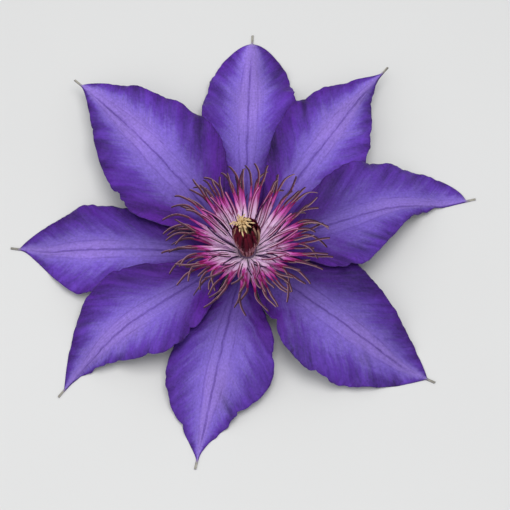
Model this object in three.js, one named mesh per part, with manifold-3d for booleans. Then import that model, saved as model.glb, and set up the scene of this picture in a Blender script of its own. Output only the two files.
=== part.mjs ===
// One large-flowered clematis bloom, picked with a short piece of its stalk and lying face up.
// Eight pointed tepals in three overlapping levels, a spreading ring of flat stamens, an erect
// cup of dark inner stamens, and the pistils with their curled stigmas.
// Millimetres, +Z up. The surface is z = 0 and the origin is under the middle of the outline.

import * as THREE from 'three';
import { mergeVertices } from 'three/addons/utils/BufferGeometryUtils.js';
import Module from 'manifold-3d';

const wasm = await Module();
wasm.setup();

// ---------------------------------------------------------------- driving dimensions

// The flower's own axis, seen from the origin.
const AXIS_X = 0.27;
const AXIS_Y = -8.35;

// Tepals: where they start, and the low dome that all of them follow.
const ROOT_RADIUS = 3.9;
const ROOT_HEIGHT = 7.0;
const LEVEL_STEP = 1.1;
const CROWN_RISE = 1.8;
const CROWN_START = 4;
const CROWN_REACH = 26;
const DROOP_POWER = 1.7;
const LANDING_LENGTH = 13;
const LANDING_SOFTNESS = 2.2;

// Tepals: outline.
const BLADE_END = 0.96;
const CLAW_HALF_WIDTH = 1.45;
const CLAW_SHARE = 0.25;
const TAIL_HALF_WIDTH = 0.4;

// Tepals: blade, ribs and waved margin.
const BLADE_THICKNESS = 0.75;
const EDGE_LIFT = 0.55;
const WAVE_HEIGHT = 1.3;
const WAVE_LENGTH = 11.5;
const OVERLAP_START = [12, 20];
const OVERLAP_END = [48, 60];
const SWELL_LENGTH = 2.3 * WAVE_LENGTH;
const SIDE_PHASE = 2.3;
const RIB_HEIGHT = 0.3;
const SIDE_RIB_HEIGHT = 0.2;
const GROOVE_DEPTH = 0.25;
const BAR_RISE = 0.18;
const RELIEF_START = [0.02, 0.12];
const RELIEF_END = [0.7, 0.86];
const ROWS = 28;
const BAR_EDGE = 0.08;
const SIDE_RIB = 0.24;
const MID_BLADE = 0.62;
const HALF_COLUMNS = [BAR_EDGE, SIDE_RIB, MID_BLADE, 1];
const COLUMNS = [...HALF_COLUMNS.map((v) => -v).reverse(), 0, ...HALF_COLUMNS];

// Each side of a tepal: half width, where along the length it is widest, how its fall to the tip
// is shaped and how its rise from the root is shaped (under 1 is full, over 1 is hollow). Left is
// counterclockwise, seen from above.
const TEPALS = [
  { azimuth: 89.1, length: 92, bend: [-1.1, 0.35], level: 0, shoulder: 38, tip: 0,
    left: [16.5, 0.62, 0.57, 0.95], right: [16.8, 0.62, 0.55, 1],
    lower: [true, true], phase: 0.4 },
  { azimuth: 129.3, length: 93, bend: [2.9, 0.35], level: 2, shoulder: 42, tip: 6,
    left: [21.4, 0.4, 1.2, 1.55], right: [21.9, 0.47, 0.72, 1.55],
    lower: [false, false], phase: 2.1 },
  { azimuth: 177.2, length: 82, bend: [-2.4, 0.35], level: 0, shoulder: 36, tip: 0,
    left: [16, 0.64, 1.5, 1], right: [17.8, 0.61, 0.82, 1],
    lower: [true, true], phase: 3.9 },
  { azimuth: 214.2, length: 80, bend: [5.3, 0.6], level: 2, shoulder: 40, tip: 0,
    left: [16.4, 0.45, 2.2, 1.3], right: [19, 0.55, 0.95, 1.55],
    lower: [false, false], phase: 5.2 },
  { azimuth: 257.4, length: 77, bend: [0.2, 0.35], level: 0, shoulder: 30, tip: 0,
    left: [18.8, 0.5, 1.75, 1.05], right: [17.1, 0.56, 1.2, 1.05],
    lower: [true, true], phase: 1.2 },
  { azimuth: 321.6, length: 78, bend: [5.6, 0.35], level: 1, shoulder: 36, tip: 0,
    left: [21.5, 0.32, 0.85, 1.2], right: [20.7, 0.52, 0.92, 0.8],
    lower: [true, false], phase: 2.9 },
  { azimuth: 19.2, length: 85, bend: [-2.6, 0.35], level: 2, shoulder: 47, tip: 0,
    left: [20.1, 0.54, 0.55, 1.55], right: [17.9, 0.37, 3.4, 1.55],
    lower: [false, false], phase: 4.6 },
  { azimuth: 57.1, length: 91, bend: [-2, 0.35], level: 1, shoulder: 40, tip: 6,
    left: [18.1, 0.59, 1.1, 1.55], right: [16.8, 0.49, 1.75, 1.1],
    lower: [false, true], phase: 0.1 },
];

// Stalk and the receptacle that everything grows from.
const STALK_RADIUS = 1.3;
const STALK_SIDES = 10;
const STALK_STEPS = 8;
const RECEPTACLE_RADIUS = 3.6;
const RECEPTACLE_TOP = 10.2;
const SEAT_GAP = 0.3;

// Spreading stamens: a collar on the receptacle with four whorls of flat filaments.
const COLLAR = { inner: 2.85, outer: 4.5, bottom: RECEPTACLE_TOP + SEAT_GAP, top: 12.6 };
const WHORLS = [
  { count: 25, offset: 0, rootHeight: 10.9, reach: 29, rise: 14.2, droop: 6.2, arch: 1.5 },
  { count: 25, offset: 0.5, rootHeight: 11.3, reach: 27.8, rise: 16, droop: 6, arch: 1.4 },
  { count: 17, offset: 0.25, rootHeight: 12.1, reach: 23.6, rise: 16.6, droop: 3.4, arch: 1.25 },
  { count: 19, offset: 0.3, rootHeight: 11.2, reach: 25.6, rise: 14.8, droop: 4.8, arch: 1.45 },
];
const STAMEN_ROOT_RADIUS = 3.2;
const STAMEN_STATIONS = [0, 0.16, 0.4, 0.65, 0.83];
const FILAMENT = { root: 0.8, width: 1.5, neck: 0.85, thickness: 0.65 };
const ANTHER = { start: 0.65, width: 1.15, thickness: 0.85 };

// Inner stamens: a narrow-waisted cup with erect dark anthers round it.
const CUP_COUNT = 13;
const CUP_WALL = 0.8;
const CUP_PROFILE = [[1.7, 10.5], [1.7, 12.6], [2.4, 15.5], [3.2, 19], [3.6, 24], [3.3, 28.2]];
const CUP_ANTHER = { width: 2.1, thickness: 1.3, start: 15, top: 30.6 };

// Pistils: a slim core with styles that curl out at the top.
const PISTIL_PROFILE = [[1.1, 10.5], [1.3, 14.6], [1.8, 18], [2.1, 23], [1.5, 27], [0.9, 29.5]];
const STYLE_COUNT = 14;
const STYLE = { thickness: 0.85, root: 27, top: 33, spread: 4.8 };

// The flower's middle stands a little to +X of the tepals' axis. From where they clear the
// collar, the cup and the pistils lean, by these ways along x and y for each way up.
const MIDDLE_SHIFT = 0.8;
const LEAN_START = 12.8;
const CUP_LEAN = [-0.03, 0.03];
const PISTIL_LEAN = [-0.09, 0.05];

// ---------------------------------------------------------------- small helpers

const HALF_TURN = Math.PI;
const FULL_TURN = 2 * Math.PI;
const QUARTER_TURN = Math.PI / 2;

// A number held between 0 and 1.
function clamp01(x) {
  return Math.min(Math.max(x, 0), 1);
}

// 0 before a, 1 after b, and a smooth step between.
function smoothstep(a, b, x) {
  const t = clamp01((x - a) / (b - a));
  return t * t * (3 - 2 * t);
}

// A repeatable draw between -1 and 1 for a piece's number and a purpose.
function draw(number, purpose) {
  const x = Math.sin(number * 12.9898 + purpose * 78.233) * 43758.5453;
  return 2 * (x - Math.floor(x)) - 1;
}

// A named mesh with its own matt material.
function piece(name, geometry, colour, roughness) {
  const flat = geometry.index ? geometry : mergeVertices(geometry);
  flat.computeVertexNormals();
  const material = new THREE.MeshStandardMaterial({ color: colour, roughness, metalness: 0 });
  const mesh = new THREE.Mesh(flat, material);
  mesh.name = name;
  return mesh;
}

// A closed solid for cutting and joining, from a geometry whose surface is closed.
function solidOf(geometry) {
  const bare = geometry.clone();
  bare.deleteAttribute('normal');
  bare.deleteAttribute('uv');
  const merged = mergeVertices(bare, 1e-4);
  return new wasm.Manifold(new wasm.Mesh({
    numProp: 3,
    vertProperties: new Float32Array(merged.attributes.position.array),
    triVerts: new Uint32Array(merged.index.array),
  }));
}

// The geometry of a joined solid.
function geometryOf(solid) {
  const mesh = solid.getMesh();
  const geometry = new THREE.BufferGeometry();
  geometry.setAttribute('position', new THREE.BufferAttribute(mesh.vertProperties, 3));
  geometry.setIndex(new THREE.BufferAttribute(mesh.triVerts, 1));
  return geometry;
}

// A closed skin through rings of points that all have the same count. Each ring runs
// counterclockwise about the way from first to last, and the end comes to a point.
function loft(rings, apex) {
  const sides = rings[0].length;
  const points = rings.flat();
  const index = [];
  for (let k = 1; k < sides - 1; k += 1) {
    index.push(0, k + 1, k);
  }
  for (let ring = 0; ring < rings.length - 1; ring += 1) {
    for (let k = 0; k < sides; k += 1) {
      const a = ring * sides + k;
      const b = ring * sides + (k + 1) % sides;
      index.push(a, b, b + sides, a, b + sides, a + sides);
    }
  }
  const last = (rings.length - 1) * sides;
  for (let k = 0; k < sides; k += 1) {
    index.push(last + k, last + (k + 1) % sides, points.length);
  }
  const geometry = new THREE.BufferGeometry();
  geometry.setFromPoints([...points, apex]);
  geometry.setIndex(index);
  return geometry;
}

// Rings of a four-cornered section carried along a route. The section's wide way stays level.
function diamondRings(route, widths, thicknesses) {
  return route.slice(0, -1).map((point, k) => {
    const before = route[Math.max(k - 1, 0)];
    const along = new THREE.Vector3().subVectors(route[k + 1], before).normalize();
    const wide = new THREE.Vector3(0, 0, 1).cross(along).normalize();
    const up = new THREE.Vector3().crossVectors(along, wide);
    const side = wide.multiplyScalar(widths[k] / 2);
    const lift = up.multiplyScalar(thicknesses[k] / 2);
    return [
      point.clone().sub(side),
      point.clone().sub(lift),
      point.clone().add(side),
      point.clone().add(lift),
    ];
  });
}

// A point from an azimuth in radians, a way out along it, a way to its left, and a height.
function polar(azimuth, out, left, height) {
  const x = out * Math.cos(azimuth) - left * Math.sin(azimuth);
  const y = out * Math.sin(azimuth) + left * Math.cos(azimuth);
  return new THREE.Vector3(x, y, height);
}

// A closed turned shape from a profile of [radius, height] pairs, given bottom to top outside.
function turned(profile, sides) {
  const points = profile.map(([radius, height]) => new THREE.Vector2(radius, height));
  return new THREE.LatheGeometry(points, sides).rotateX(QUARTER_TURN);
}

// ---------------------------------------------------------------- tepals

// Half width of one side: a sine rise to the widest place, a cosine fall to the blade's end,
// joined by root-sum-square with the claw at the root and the thin tail at the tip.
function halfWidth([width, peak, fall, rise], s) {
  const rising = Math.sin(QUARTER_TURN * clamp01(s / peak)) ** rise;
  const turn = QUARTER_TURN * clamp01((s - peak) / (BLADE_END - peak));
  const falling = Math.max(Math.cos(turn), 0) ** fall;
  const claw = CLAW_HALF_WIDTH * clamp01(1 - s / CLAW_SHARE);
  return Math.hypot(width * (s < peak ? rising : falling), claw, TAIL_HALF_WIDTH);
}

// Height of a tepal's underside before its margin waves: the dome, less the droop past the
// shoulder. A tip that lands eases on to the surface and then lies flat on it.
function undersideHeight(tepal, radius) {
  const start = ROOT_HEIGHT + LEVEL_STEP * tepal.level;
  const crown = CROWN_RISE * Math.sin(QUARTER_TURN * clamp01((radius - CROWN_START) / CROWN_REACH));
  const end = tepal.length - (tepal.tip > 0 ? 0 : LANDING_LENGTH);
  const way = Math.max((radius - tepal.shoulder) / (end - tepal.shoulder), 0);
  return start + crown - (start + CROWN_RISE - tepal.tip) * way ** DROOP_POWER;
}

// A height that is never under the surface, with a soft landing.
function landed(height) {
  if (height < -LANDING_SOFTNESS) {
    return 0;
  }
  if (height > LANDING_SOFTNESS) {
    return height;
  }
  return (height + LANDING_SOFTNESS) ** 2 / (4 * LANDING_SOFTNESS);
}

// Rise of the waved margin. Where tepals overlap, an upper margin only lifts and a lower one
// only dips, so the layers stay clear of each other. Further out it waves both ways.
function marginRise(tepal, v, radius, s) {
  const tuck = tepal.lower[v > 0 ? 0 : 1] ? -1 : 1;
  const inOverlap = smoothstep(...OVERLAP_START, radius) * (1 - smoothstep(...OVERLAP_END, radius));
  const free = smoothstep(...OVERLAP_END, radius) * (1 - smoothstep(0.8, 0.93, s));
  const phase = tepal.phase + (v > 0 ? 0 : SIDE_PHASE);
  const wave = Math.sin(FULL_TURN * radius / WAVE_LENGTH + phase);
  const swell = Math.sin(FULL_TURN * radius / SWELL_LENGTH + 2 * phase);
  const held = tuck * (EDGE_LIFT + WAVE_HEIGHT * (0.5 + 0.35 * wave + 0.15 * swell));
  const loose = WAVE_HEIGHT * (0.8 * wave + 0.5 * swell);
  return v * v * (inOverlap * held + free * loose);
}

// One place on a tepal: s runs from root to tip and v from the right margin to the left one.
// Three ribs stand out below, with a groove over the middle one and a raised bar beside it.
function tepalPoint(tepal, s, v) {
  const azimuth = THREE.MathUtils.degToRad(tepal.azimuth);
  const out = ROOT_RADIUS + (tepal.length - ROOT_RADIUS) * s;
  const [bend, start] = tepal.bend;
  const centre = bend * clamp01((s - start) / (1 - start)) ** 2;
  const left = centre + v * halfWidth(v > 0 ? tepal.left : tepal.right, s);
  const radius = Math.hypot(out, left);
  const relief = smoothstep(...RELIEF_START, s) * (1 - smoothstep(...RELIEF_END, s));
  const ribs = new Map([[0, RIB_HEIGHT], [SIDE_RIB, SIDE_RIB_HEIGHT]]);
  const bars = new Map([[0, -GROOVE_DEPTH], [BAR_EDGE, BAR_RISE]]);
  const rib = ribs.get(Math.abs(v)) ?? 0;
  const bar = bars.get(Math.abs(v)) ?? 0;
  const base = undersideHeight(tepal, radius) + marginRise(tepal, v, radius, s);
  const under = tepal.tip > 0 ? base : landed(base);
  return {
    under: polar(azimuth, out, left, Math.max(under - relief * rib, 0)),
    top: polar(azimuth, out, left, under + BLADE_THICKNESS + relief * bar),
  };
}

// A blade with the same triangles on both faces and a rim between them.
function tepalGeometry(tepal) {
  const across = COLUMNS.length;
  const tops = [];
  const unders = [];
  for (let row = 0; row <= ROWS; row += 1) {
    for (const v of COLUMNS) {
      const { under, top } = tepalPoint(tepal, row / ROWS, v);
      tops.push(top);
      unders.push(under);
    }
  }
  const below = tops.length;
  const index = [];
  for (let row = 0; row < ROWS; row += 1) {
    for (let column = 0; column < across - 1; column += 1) {
      const a = row * across + column;
      const [b, c, d] = [a + 1, a + across, a + across + 1];
      const faces = column < (across - 1) / 2 ? [[a, c, d], [a, d, b]] : [[a, c, b], [b, c, d]];
      for (const [p, q, r] of faces) {
        index.push(p, q, r, below + p, below + r, below + q);
      }
    }
  }
  const rim = [];
  for (let row = 0; row < ROWS; row += 1) {
    rim.push([row * across, (row + 1) * across]);
    rim.push([(row + 2) * across - 1, (row + 1) * across - 1]);
  }
  for (let column = 0; column < across - 1; column += 1) {
    rim.push([column + 1, column]);
    rim.push([ROWS * across + column, ROWS * across + column + 1]);
  }
  for (const [p, q] of rim) {
    index.push(p, below + q, q, p, below + p, below + q);
  }
  const geometry = new THREE.BufferGeometry();
  geometry.setFromPoints([...tops, ...unders]);
  geometry.setIndex(index);
  return geometry;
}

// ---------------------------------------------------------------- stem

// The cut stalk curves down and trails just over the surface, under the receptacle's knob.
function stemGeometry() {
  const route = new THREE.CatmullRomCurve3([
    new THREE.Vector3(0, 0, 8),
    new THREE.Vector3(0.4, -0.2, 5.6),
    new THREE.Vector3(2.5, -1.8, 3.2),
    new THREE.Vector3(7, -5.6, 1.9),
    new THREE.Vector3(12.4, -11.2, STALK_RADIUS + SEAT_GAP),
  ]);
  const section = new THREE.Shape();
  for (let k = 0; k < STALK_SIDES; k += 1) {
    const turn = FULL_TURN * k / STALK_SIDES;
    const step = k === 0 ? 'moveTo' : 'lineTo';
    section[step](STALK_RADIUS * Math.cos(turn), STALK_RADIUS * Math.sin(turn));
  }
  const options = { steps: STALK_STEPS, bevelEnabled: false, extrudePath: route };
  const stalk = solidOf(new THREE.ExtrudeGeometry(section, options));
  const knob = solidOf(turned([
    [0, 4.6],
    [STALK_RADIUS, 5],
    [2.6, 6.1],
    [RECEPTACLE_RADIUS, 7.4],
    [RECEPTACLE_RADIUS, RECEPTACLE_TOP - 0.6],
    [RECEPTACLE_RADIUS - 0.6, RECEPTACLE_TOP],
    [0, RECEPTACLE_TOP],
  ], 16));
  return geometryOf(stalk.add(knob));
}

// ---------------------------------------------------------------- stamens

// The same shape moved to the flower's middle, with all that stands above the collar leaned.
function centred(geometry, [leanX, leanY] = [0, 0]) {
  const places = geometry.attributes.position;
  for (let k = 0; k < places.count; k += 1) {
    const above = Math.max(places.getZ(k) - LEAN_START, 0);
    places.setX(k, places.getX(k) + MIDDLE_SHIFT + leanX * above);
    places.setY(k, places.getY(k) + leanY * above);
  }
  return geometry;
}

// Joins a list of solids into one geometry.
function joined(solids) {
  return geometryOf(solids.reduce((whole, part) => whole.add(part)));
}

// One spreading stamen: the route goes out and arches up, bows to a side, and its anther
// curls to a side and droops at the end.
function spreadingStamen(whorl, number, order) {
  const turn = (order + whorl.offset + 0.24 * draw(number, 1)) / whorl.count;
  const reach = whorl.reach * (1 + 0.07 * draw(number, 2));
  const rise = whorl.rise * (1 + 0.14 * draw(number, 3));
  const bow = 1.1 * draw(number, 4);
  const curl = 3.2 * draw(number, 5);
  const droop = whorl.droop + 2.2 * draw(number, 6);
  const place = (t) => {
    const out = STAMEN_ROOT_RADIUS + (reach - STAMEN_ROOT_RADIUS) * t;
    const end = clamp01((t - ANTHER.start) / (1 - ANTHER.start));
    const left = bow * Math.sin(HALF_TURN * t) + curl * end * end;
    const lift = rise * (1 - (1 - t) ** whorl.arch) - droop * end * end;
    return polar(FULL_TURN * turn, out, left, whorl.rootHeight + lift);
  };
  const widths = STAMEN_STATIONS.map((t) => {
    const body = FILAMENT.root + (FILAMENT.width - FILAMENT.root) * smoothstep(0, 0.3, t);
    const necked = body + (FILAMENT.neck - body) * smoothstep(0.35, ANTHER.start, t);
    return t > ANTHER.start ? ANTHER.width : necked;
  });
  const thicknesses = STAMEN_STATIONS.map((t) => (
    t > ANTHER.start ? ANTHER.thickness : FILAMENT.thickness));
  const route = [...STAMEN_STATIONS, 1].map(place);
  return solidOf(loft(diamondRings(route, widths, thicknesses), route[route.length - 1]));
}

// The collar with all the spreading stamens.
function stamensGeometry() {
  const collar = turned([
    [COLLAR.inner, COLLAR.bottom],
    [COLLAR.outer, COLLAR.bottom],
    [COLLAR.outer, COLLAR.top - 1.2],
    [COLLAR.outer - 0.8, COLLAR.top],
    [COLLAR.inner, COLLAR.top],
    [COLLAR.inner, COLLAR.bottom],
  ], 24);
  const solids = [solidOf(collar)];
  WHORLS.forEach((whorl) => {
    for (let order = 0; order < whorl.count; order += 1) {
      solids.push(spreadingStamen(whorl, solids.length, order));
    }
  });
  return joined(solids);
}

// ---------------------------------------------------------------- inner stamens

// Radius of the cup's middle surface at a height, by straight steps through its profile.
function cupRadius(height) {
  const above = CUP_PROFILE.findIndex(([, z]) => z >= height);
  const [[r0, z0], [r1, z1]] = [CUP_PROFILE[above - 1], CUP_PROFILE[above]];
  return r0 + (r1 - r0) * (height - z0) / (z1 - z0);
}

// The cup is one thin turned wall. The anthers stand round it, broad in the middle, and their
// tips lean in over its rim.
function innerStamensGeometry() {
  const outside = CUP_PROFILE.map(([r, z]) => [r + CUP_WALL, z]);
  const inside = [...CUP_PROFILE].reverse();
  const solids = [solidOf(turned([...outside, ...inside, outside[0]], 20))];
  for (let order = 0; order < CUP_COUNT; order += 1) {
    const turn = FULL_TURN * (order + 0.2 * draw(order, 11)) / CUP_COUNT;
    const top = CUP_ANTHER.top + 0.9 * draw(order, 12);
    const out = 0.5 + 0.25 * draw(order, 13);
    const heights = [CUP_ANTHER.start, 18.5, 22.5, 25.5, 28];
    const route = heights.map((z) => polar(turn, cupRadius(z - 0.001) + CUP_WALL + out - 0.3, 0, z));
    route.push(polar(turn, 3.4 + 0.5 * draw(order, 14), 0.5 * draw(order, 15), top));
    const widths = [0.55, 0.85, 1, 1, 0.75].map((share) => share * CUP_ANTHER.width);
    solids.push(solidOf(loft(erectRings(route, turn, widths), route[route.length - 1])));
  }
  return joined(solids);
}

// Level four-cornered rings for an erect anther, wide round the cup and thin across it.
function erectRings(route, turn, widths) {
  return route.slice(0, -1).map((point, k) => {
    const out = polar(turn, CUP_ANTHER.thickness / 2, 0, 0);
    const left = polar(turn, 0, widths[k] / 2, 0);
    return [
      point.clone().add(out),
      point.clone().add(left),
      point.clone().sub(out),
      point.clone().sub(left),
    ];
  });
}

// ---------------------------------------------------------------- pistils

// A slim core with styles that rise from its top and curl outwards, each to its own height.
function pistilsGeometry() {
  const core = turned([[0, PISTIL_PROFILE[0][1]], ...PISTIL_PROFILE, [0, 30.4]], 12);
  const solids = [solidOf(core)];
  for (let order = 0; order < STYLE_COUNT; order += 1) {
    const turn = FULL_TURN * (order + 0.3 * draw(order, 21)) / STYLE_COUNT;
    const spread = STYLE.spread * (0.82 + 0.2 * draw(order, 22));
    const top = STYLE.top + 0.6 * draw(order, 23);
    const curl = 0.8 * draw(order, 24);
    const route = [
      polar(turn, 0.4, 0, STYLE.root),
      polar(turn, 0.75, 0, 30),
      polar(turn, 0.32 * spread, 0, top - 0.8),
      polar(turn, 0.62 * spread, 0.3 * curl, top),
      polar(turn, spread, curl, top - 0.7),
    ];
    const sizes = [1, 1, 1, 0.9].map((share) => share * STYLE.thickness);
    solids.push(solidOf(loft(diamondRings(route, sizes, sizes), route[route.length - 1])));
  }
  return joined(solids);
}

// ---------------------------------------------------------------- the bloom

const group = new THREE.Group();
group.position.set(AXIS_X, AXIS_Y, 0);

group.add(piece('stem', stemGeometry(), 0x6f8a45, 0.7));
TEPALS.forEach((tepal, k) => {
  group.add(piece(`tepal_${k + 1}`, tepalGeometry(tepal), 0x6a4fb8, 0.6));
});
group.add(piece('stamens', centred(stamensGeometry()), 0xb0568c, 0.65));
group.add(piece('inner_stamens', centred(innerStamensGeometry(), CUP_LEAN), 0x5a1424, 0.7));
group.add(piece('pistils', centred(pistilsGeometry(), PISTIL_LEAN), 0xe0c98a, 0.6));

export default group;
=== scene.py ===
"""Dresses one large-flowered clematis bloom, picked with a stub of its stalk and lying face up.

The shapes are worked out in millimetres about the flower's own axis and are put into the frame,
in metres, as each mesh is made. Every piece is a surface of two parameters on a grid.
"""

import logging
import math
from dataclasses import dataclass, field
from enum import Enum
from typing import Any, Mapping, Sequence

import bpy
import numpy as np
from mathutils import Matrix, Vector


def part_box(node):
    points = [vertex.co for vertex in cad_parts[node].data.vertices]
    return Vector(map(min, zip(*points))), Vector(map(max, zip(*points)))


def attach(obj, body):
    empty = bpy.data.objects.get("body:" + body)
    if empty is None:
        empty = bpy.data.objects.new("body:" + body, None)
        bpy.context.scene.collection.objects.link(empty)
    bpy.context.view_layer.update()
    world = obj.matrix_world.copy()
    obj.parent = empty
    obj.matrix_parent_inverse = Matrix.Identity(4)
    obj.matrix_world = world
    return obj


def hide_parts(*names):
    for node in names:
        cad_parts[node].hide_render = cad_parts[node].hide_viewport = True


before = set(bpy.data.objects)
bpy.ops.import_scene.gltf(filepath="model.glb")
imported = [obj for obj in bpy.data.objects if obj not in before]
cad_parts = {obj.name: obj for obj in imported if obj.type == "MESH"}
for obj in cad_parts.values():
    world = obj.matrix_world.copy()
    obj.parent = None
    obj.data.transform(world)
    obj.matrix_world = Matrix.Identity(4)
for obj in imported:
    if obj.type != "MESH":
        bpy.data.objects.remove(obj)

Array = np.ndarray
Colour = tuple[float, float, float]

LOG = logging.getLogger("clematis")
MM = 0.001
FULL_TURN = 2 * math.pi
UP = np.array([0.0, 0.0, 1.0])
RECEPTACLE_RADIUS = 3.6
# The stamens and the pistils stand this far to the +X side of the tepals' axis.
MIDDLE_SHIFT = 0.8
# The cup and the pistils lean from this height up.
LEAN_START = 12.8
# The side veins of a tepal run this far tipwards for each way out from the midrib.
VEIN_SLOPE = 1.1


class Draw(Enum):
    """What a repeatable draw is for. Each purpose has its own row of draws."""

    STAMEN_TURN = 1
    STAMEN_REACH = 2
    STAMEN_RISE = 3
    STAMEN_BOW = 4
    STAMEN_CURL = 5
    STAMEN_DROOP = 6
    STAMEN_WIGGLE = 7
    STAMEN_TWIST = 8
    STAMEN_CHANCE = 9
    CUP_TURN = 11
    CUP_TOP = 12
    CUP_RADIUS = 13
    CUP_SIDE = 15
    CUP_SWAY = 16
    CUP_TWIST = 17
    CUP_CHANCE = 18
    STYLE_TURN = 21
    STYLE_SPREAD = 22
    STYLE_TOP = 23
    STYLE_CURL = 24
    STRAND_CHANCE = 31
    HAIR_PLACE = 41
    HAIR_TURN = 42
    HAIR_LENGTH = 43
    HAIR_LEAN = 44


# ------------------------------------------------------------------ numbers and grids


def smoothstep(low: float, high: float, x: Array) -> Array:
    """0 before low, 1 after high, and the cubic 3t^2 - 2t^3 between."""
    t = np.clip((x - low) / (high - low), 0, 1)
    return t * t * (3 - 2 * t)


def draw(number: Array, purpose: Draw) -> Array:
    """A repeatable draw between -1 and 1: the fraction of a large multiple of a sine."""
    x = np.sin(number * 12.9898 + purpose.value * 78.233) * 43758.5453
    return 2 * (x - np.floor(x)) - 1


def numbered(count: int, first: int) -> Array:
    """The numbers of a ring's members, one to a row, for their draws."""
    return np.arange(count)[:, None] + first


def bell(x: Array) -> Array:
    """1 at 0 and falling both ways: e to the less of the square."""
    return np.exp(-(x**2))


def sided(v: Array, left: Array | float, right: Array | float) -> Array:
    """The left side's value left of the midrib, where v is over 0, and the right side's else."""
    return np.where(v > 0, left, right)


def polar(azimuth: Array, out: Array, left: Array, height: Array) -> Array:
    """Points from an azimuth, a way out along it, a way to its left, and a height.

    Args:
        azimuth: Angle about the flower's axis, in radians.
        out: Distance along the azimuth, in millimetres.
        left: Distance to the left of the azimuth, in millimetres.
        height: Height over the surface, in millimetres.

    Returns:
        An array whose last axis holds x, y and z.
    """
    x = out * np.cos(azimuth) - left * np.sin(azimuth)
    y = out * np.sin(azimuth) + left * np.cos(azimuth)
    return np.stack(np.broadcast_arrays(x, y, height), axis=-1)


def centred(places: Array, lean: tuple[float, float] = (0.0, 0.0)) -> Array:
    """Places moved to the middle of the stamens, those above the collar leaned.

    Args:
        places: Places about the tepals' axis, in millimetres.
        lean: Ways along x and y for each way up.

    Returns:
        The moved places.
    """
    above = np.maximum(places[..., 2] - LEAN_START, 0)
    x = places[..., 0] + MIDDLE_SHIFT + lean[0] * above
    return np.stack([x, places[..., 1] + lean[1] * above, places[..., 2]], axis=-1)


def unit(vectors: Array) -> Array:
    """The same vectors at length 1."""
    return vectors / np.linalg.norm(vectors, axis=-1, keepdims=True)


@dataclass
class Surface:
    """Points with faces and marks.

    Attributes:
        points: (n, 3) places in millimetres about the flower's axis.
        faces: Arrays of quads and of triangles, as point numbers.
        marks: Three values at each point, by name.
    """

    points: Array
    faces: list[Array]
    marks: dict[str, Array] = field(default_factory=dict)

    @staticmethod
    def joined(parts: Sequence["Surface"]) -> "Surface":
        """One surface from several.

        Args:
            parts: Surfaces that have the same marks.

        Returns:
            A surface with all their points and faces.
        """
        starts = np.cumsum([0] + [len(part.points) for part in parts])
        return Surface(
            np.concatenate([part.points for part in parts]),
            [faces + start for part, start in zip(parts, starts) for faces in part.faces],
            {name: np.concatenate([part.marks[name] for part in parts]) for name in parts[0].marks},
        )

    def mesh(self, name: str, axis: Vector) -> bpy.types.Mesh:
        """Puts the surface into a new mesh, in metres.

        Args:
            name: Name of the mesh.
            axis: The flower's axis in the frame, in metres.

        Returns:
            The mesh, smooth shaded, with its marks as point attributes.
        """
        mesh = bpy.data.meshes.new(name)
        sizes = np.concatenate([np.full(len(faces), faces.shape[1]) for faces in self.faces])
        corners = np.concatenate([faces.ravel() for faces in self.faces])
        places = self.points * MM + np.array([axis.x, axis.y, 0.0])
        mesh.vertices.add(len(places))
        mesh.vertices.foreach_set("co", places.ravel())
        mesh.loops.add(len(corners))
        mesh.loops.foreach_set("vertex_index", corners.astype(np.int32))
        mesh.polygons.add(len(sizes))
        mesh.polygons.foreach_set("loop_start", np.concatenate([[0], np.cumsum(sizes)[:-1]]))
        mesh.polygons.foreach_set("use_smooth", np.ones(len(sizes), dtype=bool))
        mesh.update(calc_edges=True)
        for mark, values in self.marks.items():
            layer = mesh.attributes.new(mark, "FLOAT_VECTOR", "POINT")
            layer.data.foreach_set("vector", values.ravel())
        mesh.validate()
        return mesh


def grid_quads(rows: int, columns: int, wrapped: bool = False) -> Array:
    """Quads over a grid of points stored row by row.

    Args:
        rows: Number of rows of points.
        columns: Number of points in a row.
        wrapped: Whether the last column joins the first.

    Returns:
        (m, 4) point numbers, turning the same way as row by column.
    """
    row, column = np.meshgrid(
        np.arange(rows - 1), np.arange(columns if wrapped else columns - 1), indexing="ij"
    )
    after = (column + 1) % columns
    here = row * columns
    quads = [here + column, here + after, here + columns + after, here + columns + column]
    return np.stack([quad.ravel() for quad in quads], axis=1)


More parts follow.
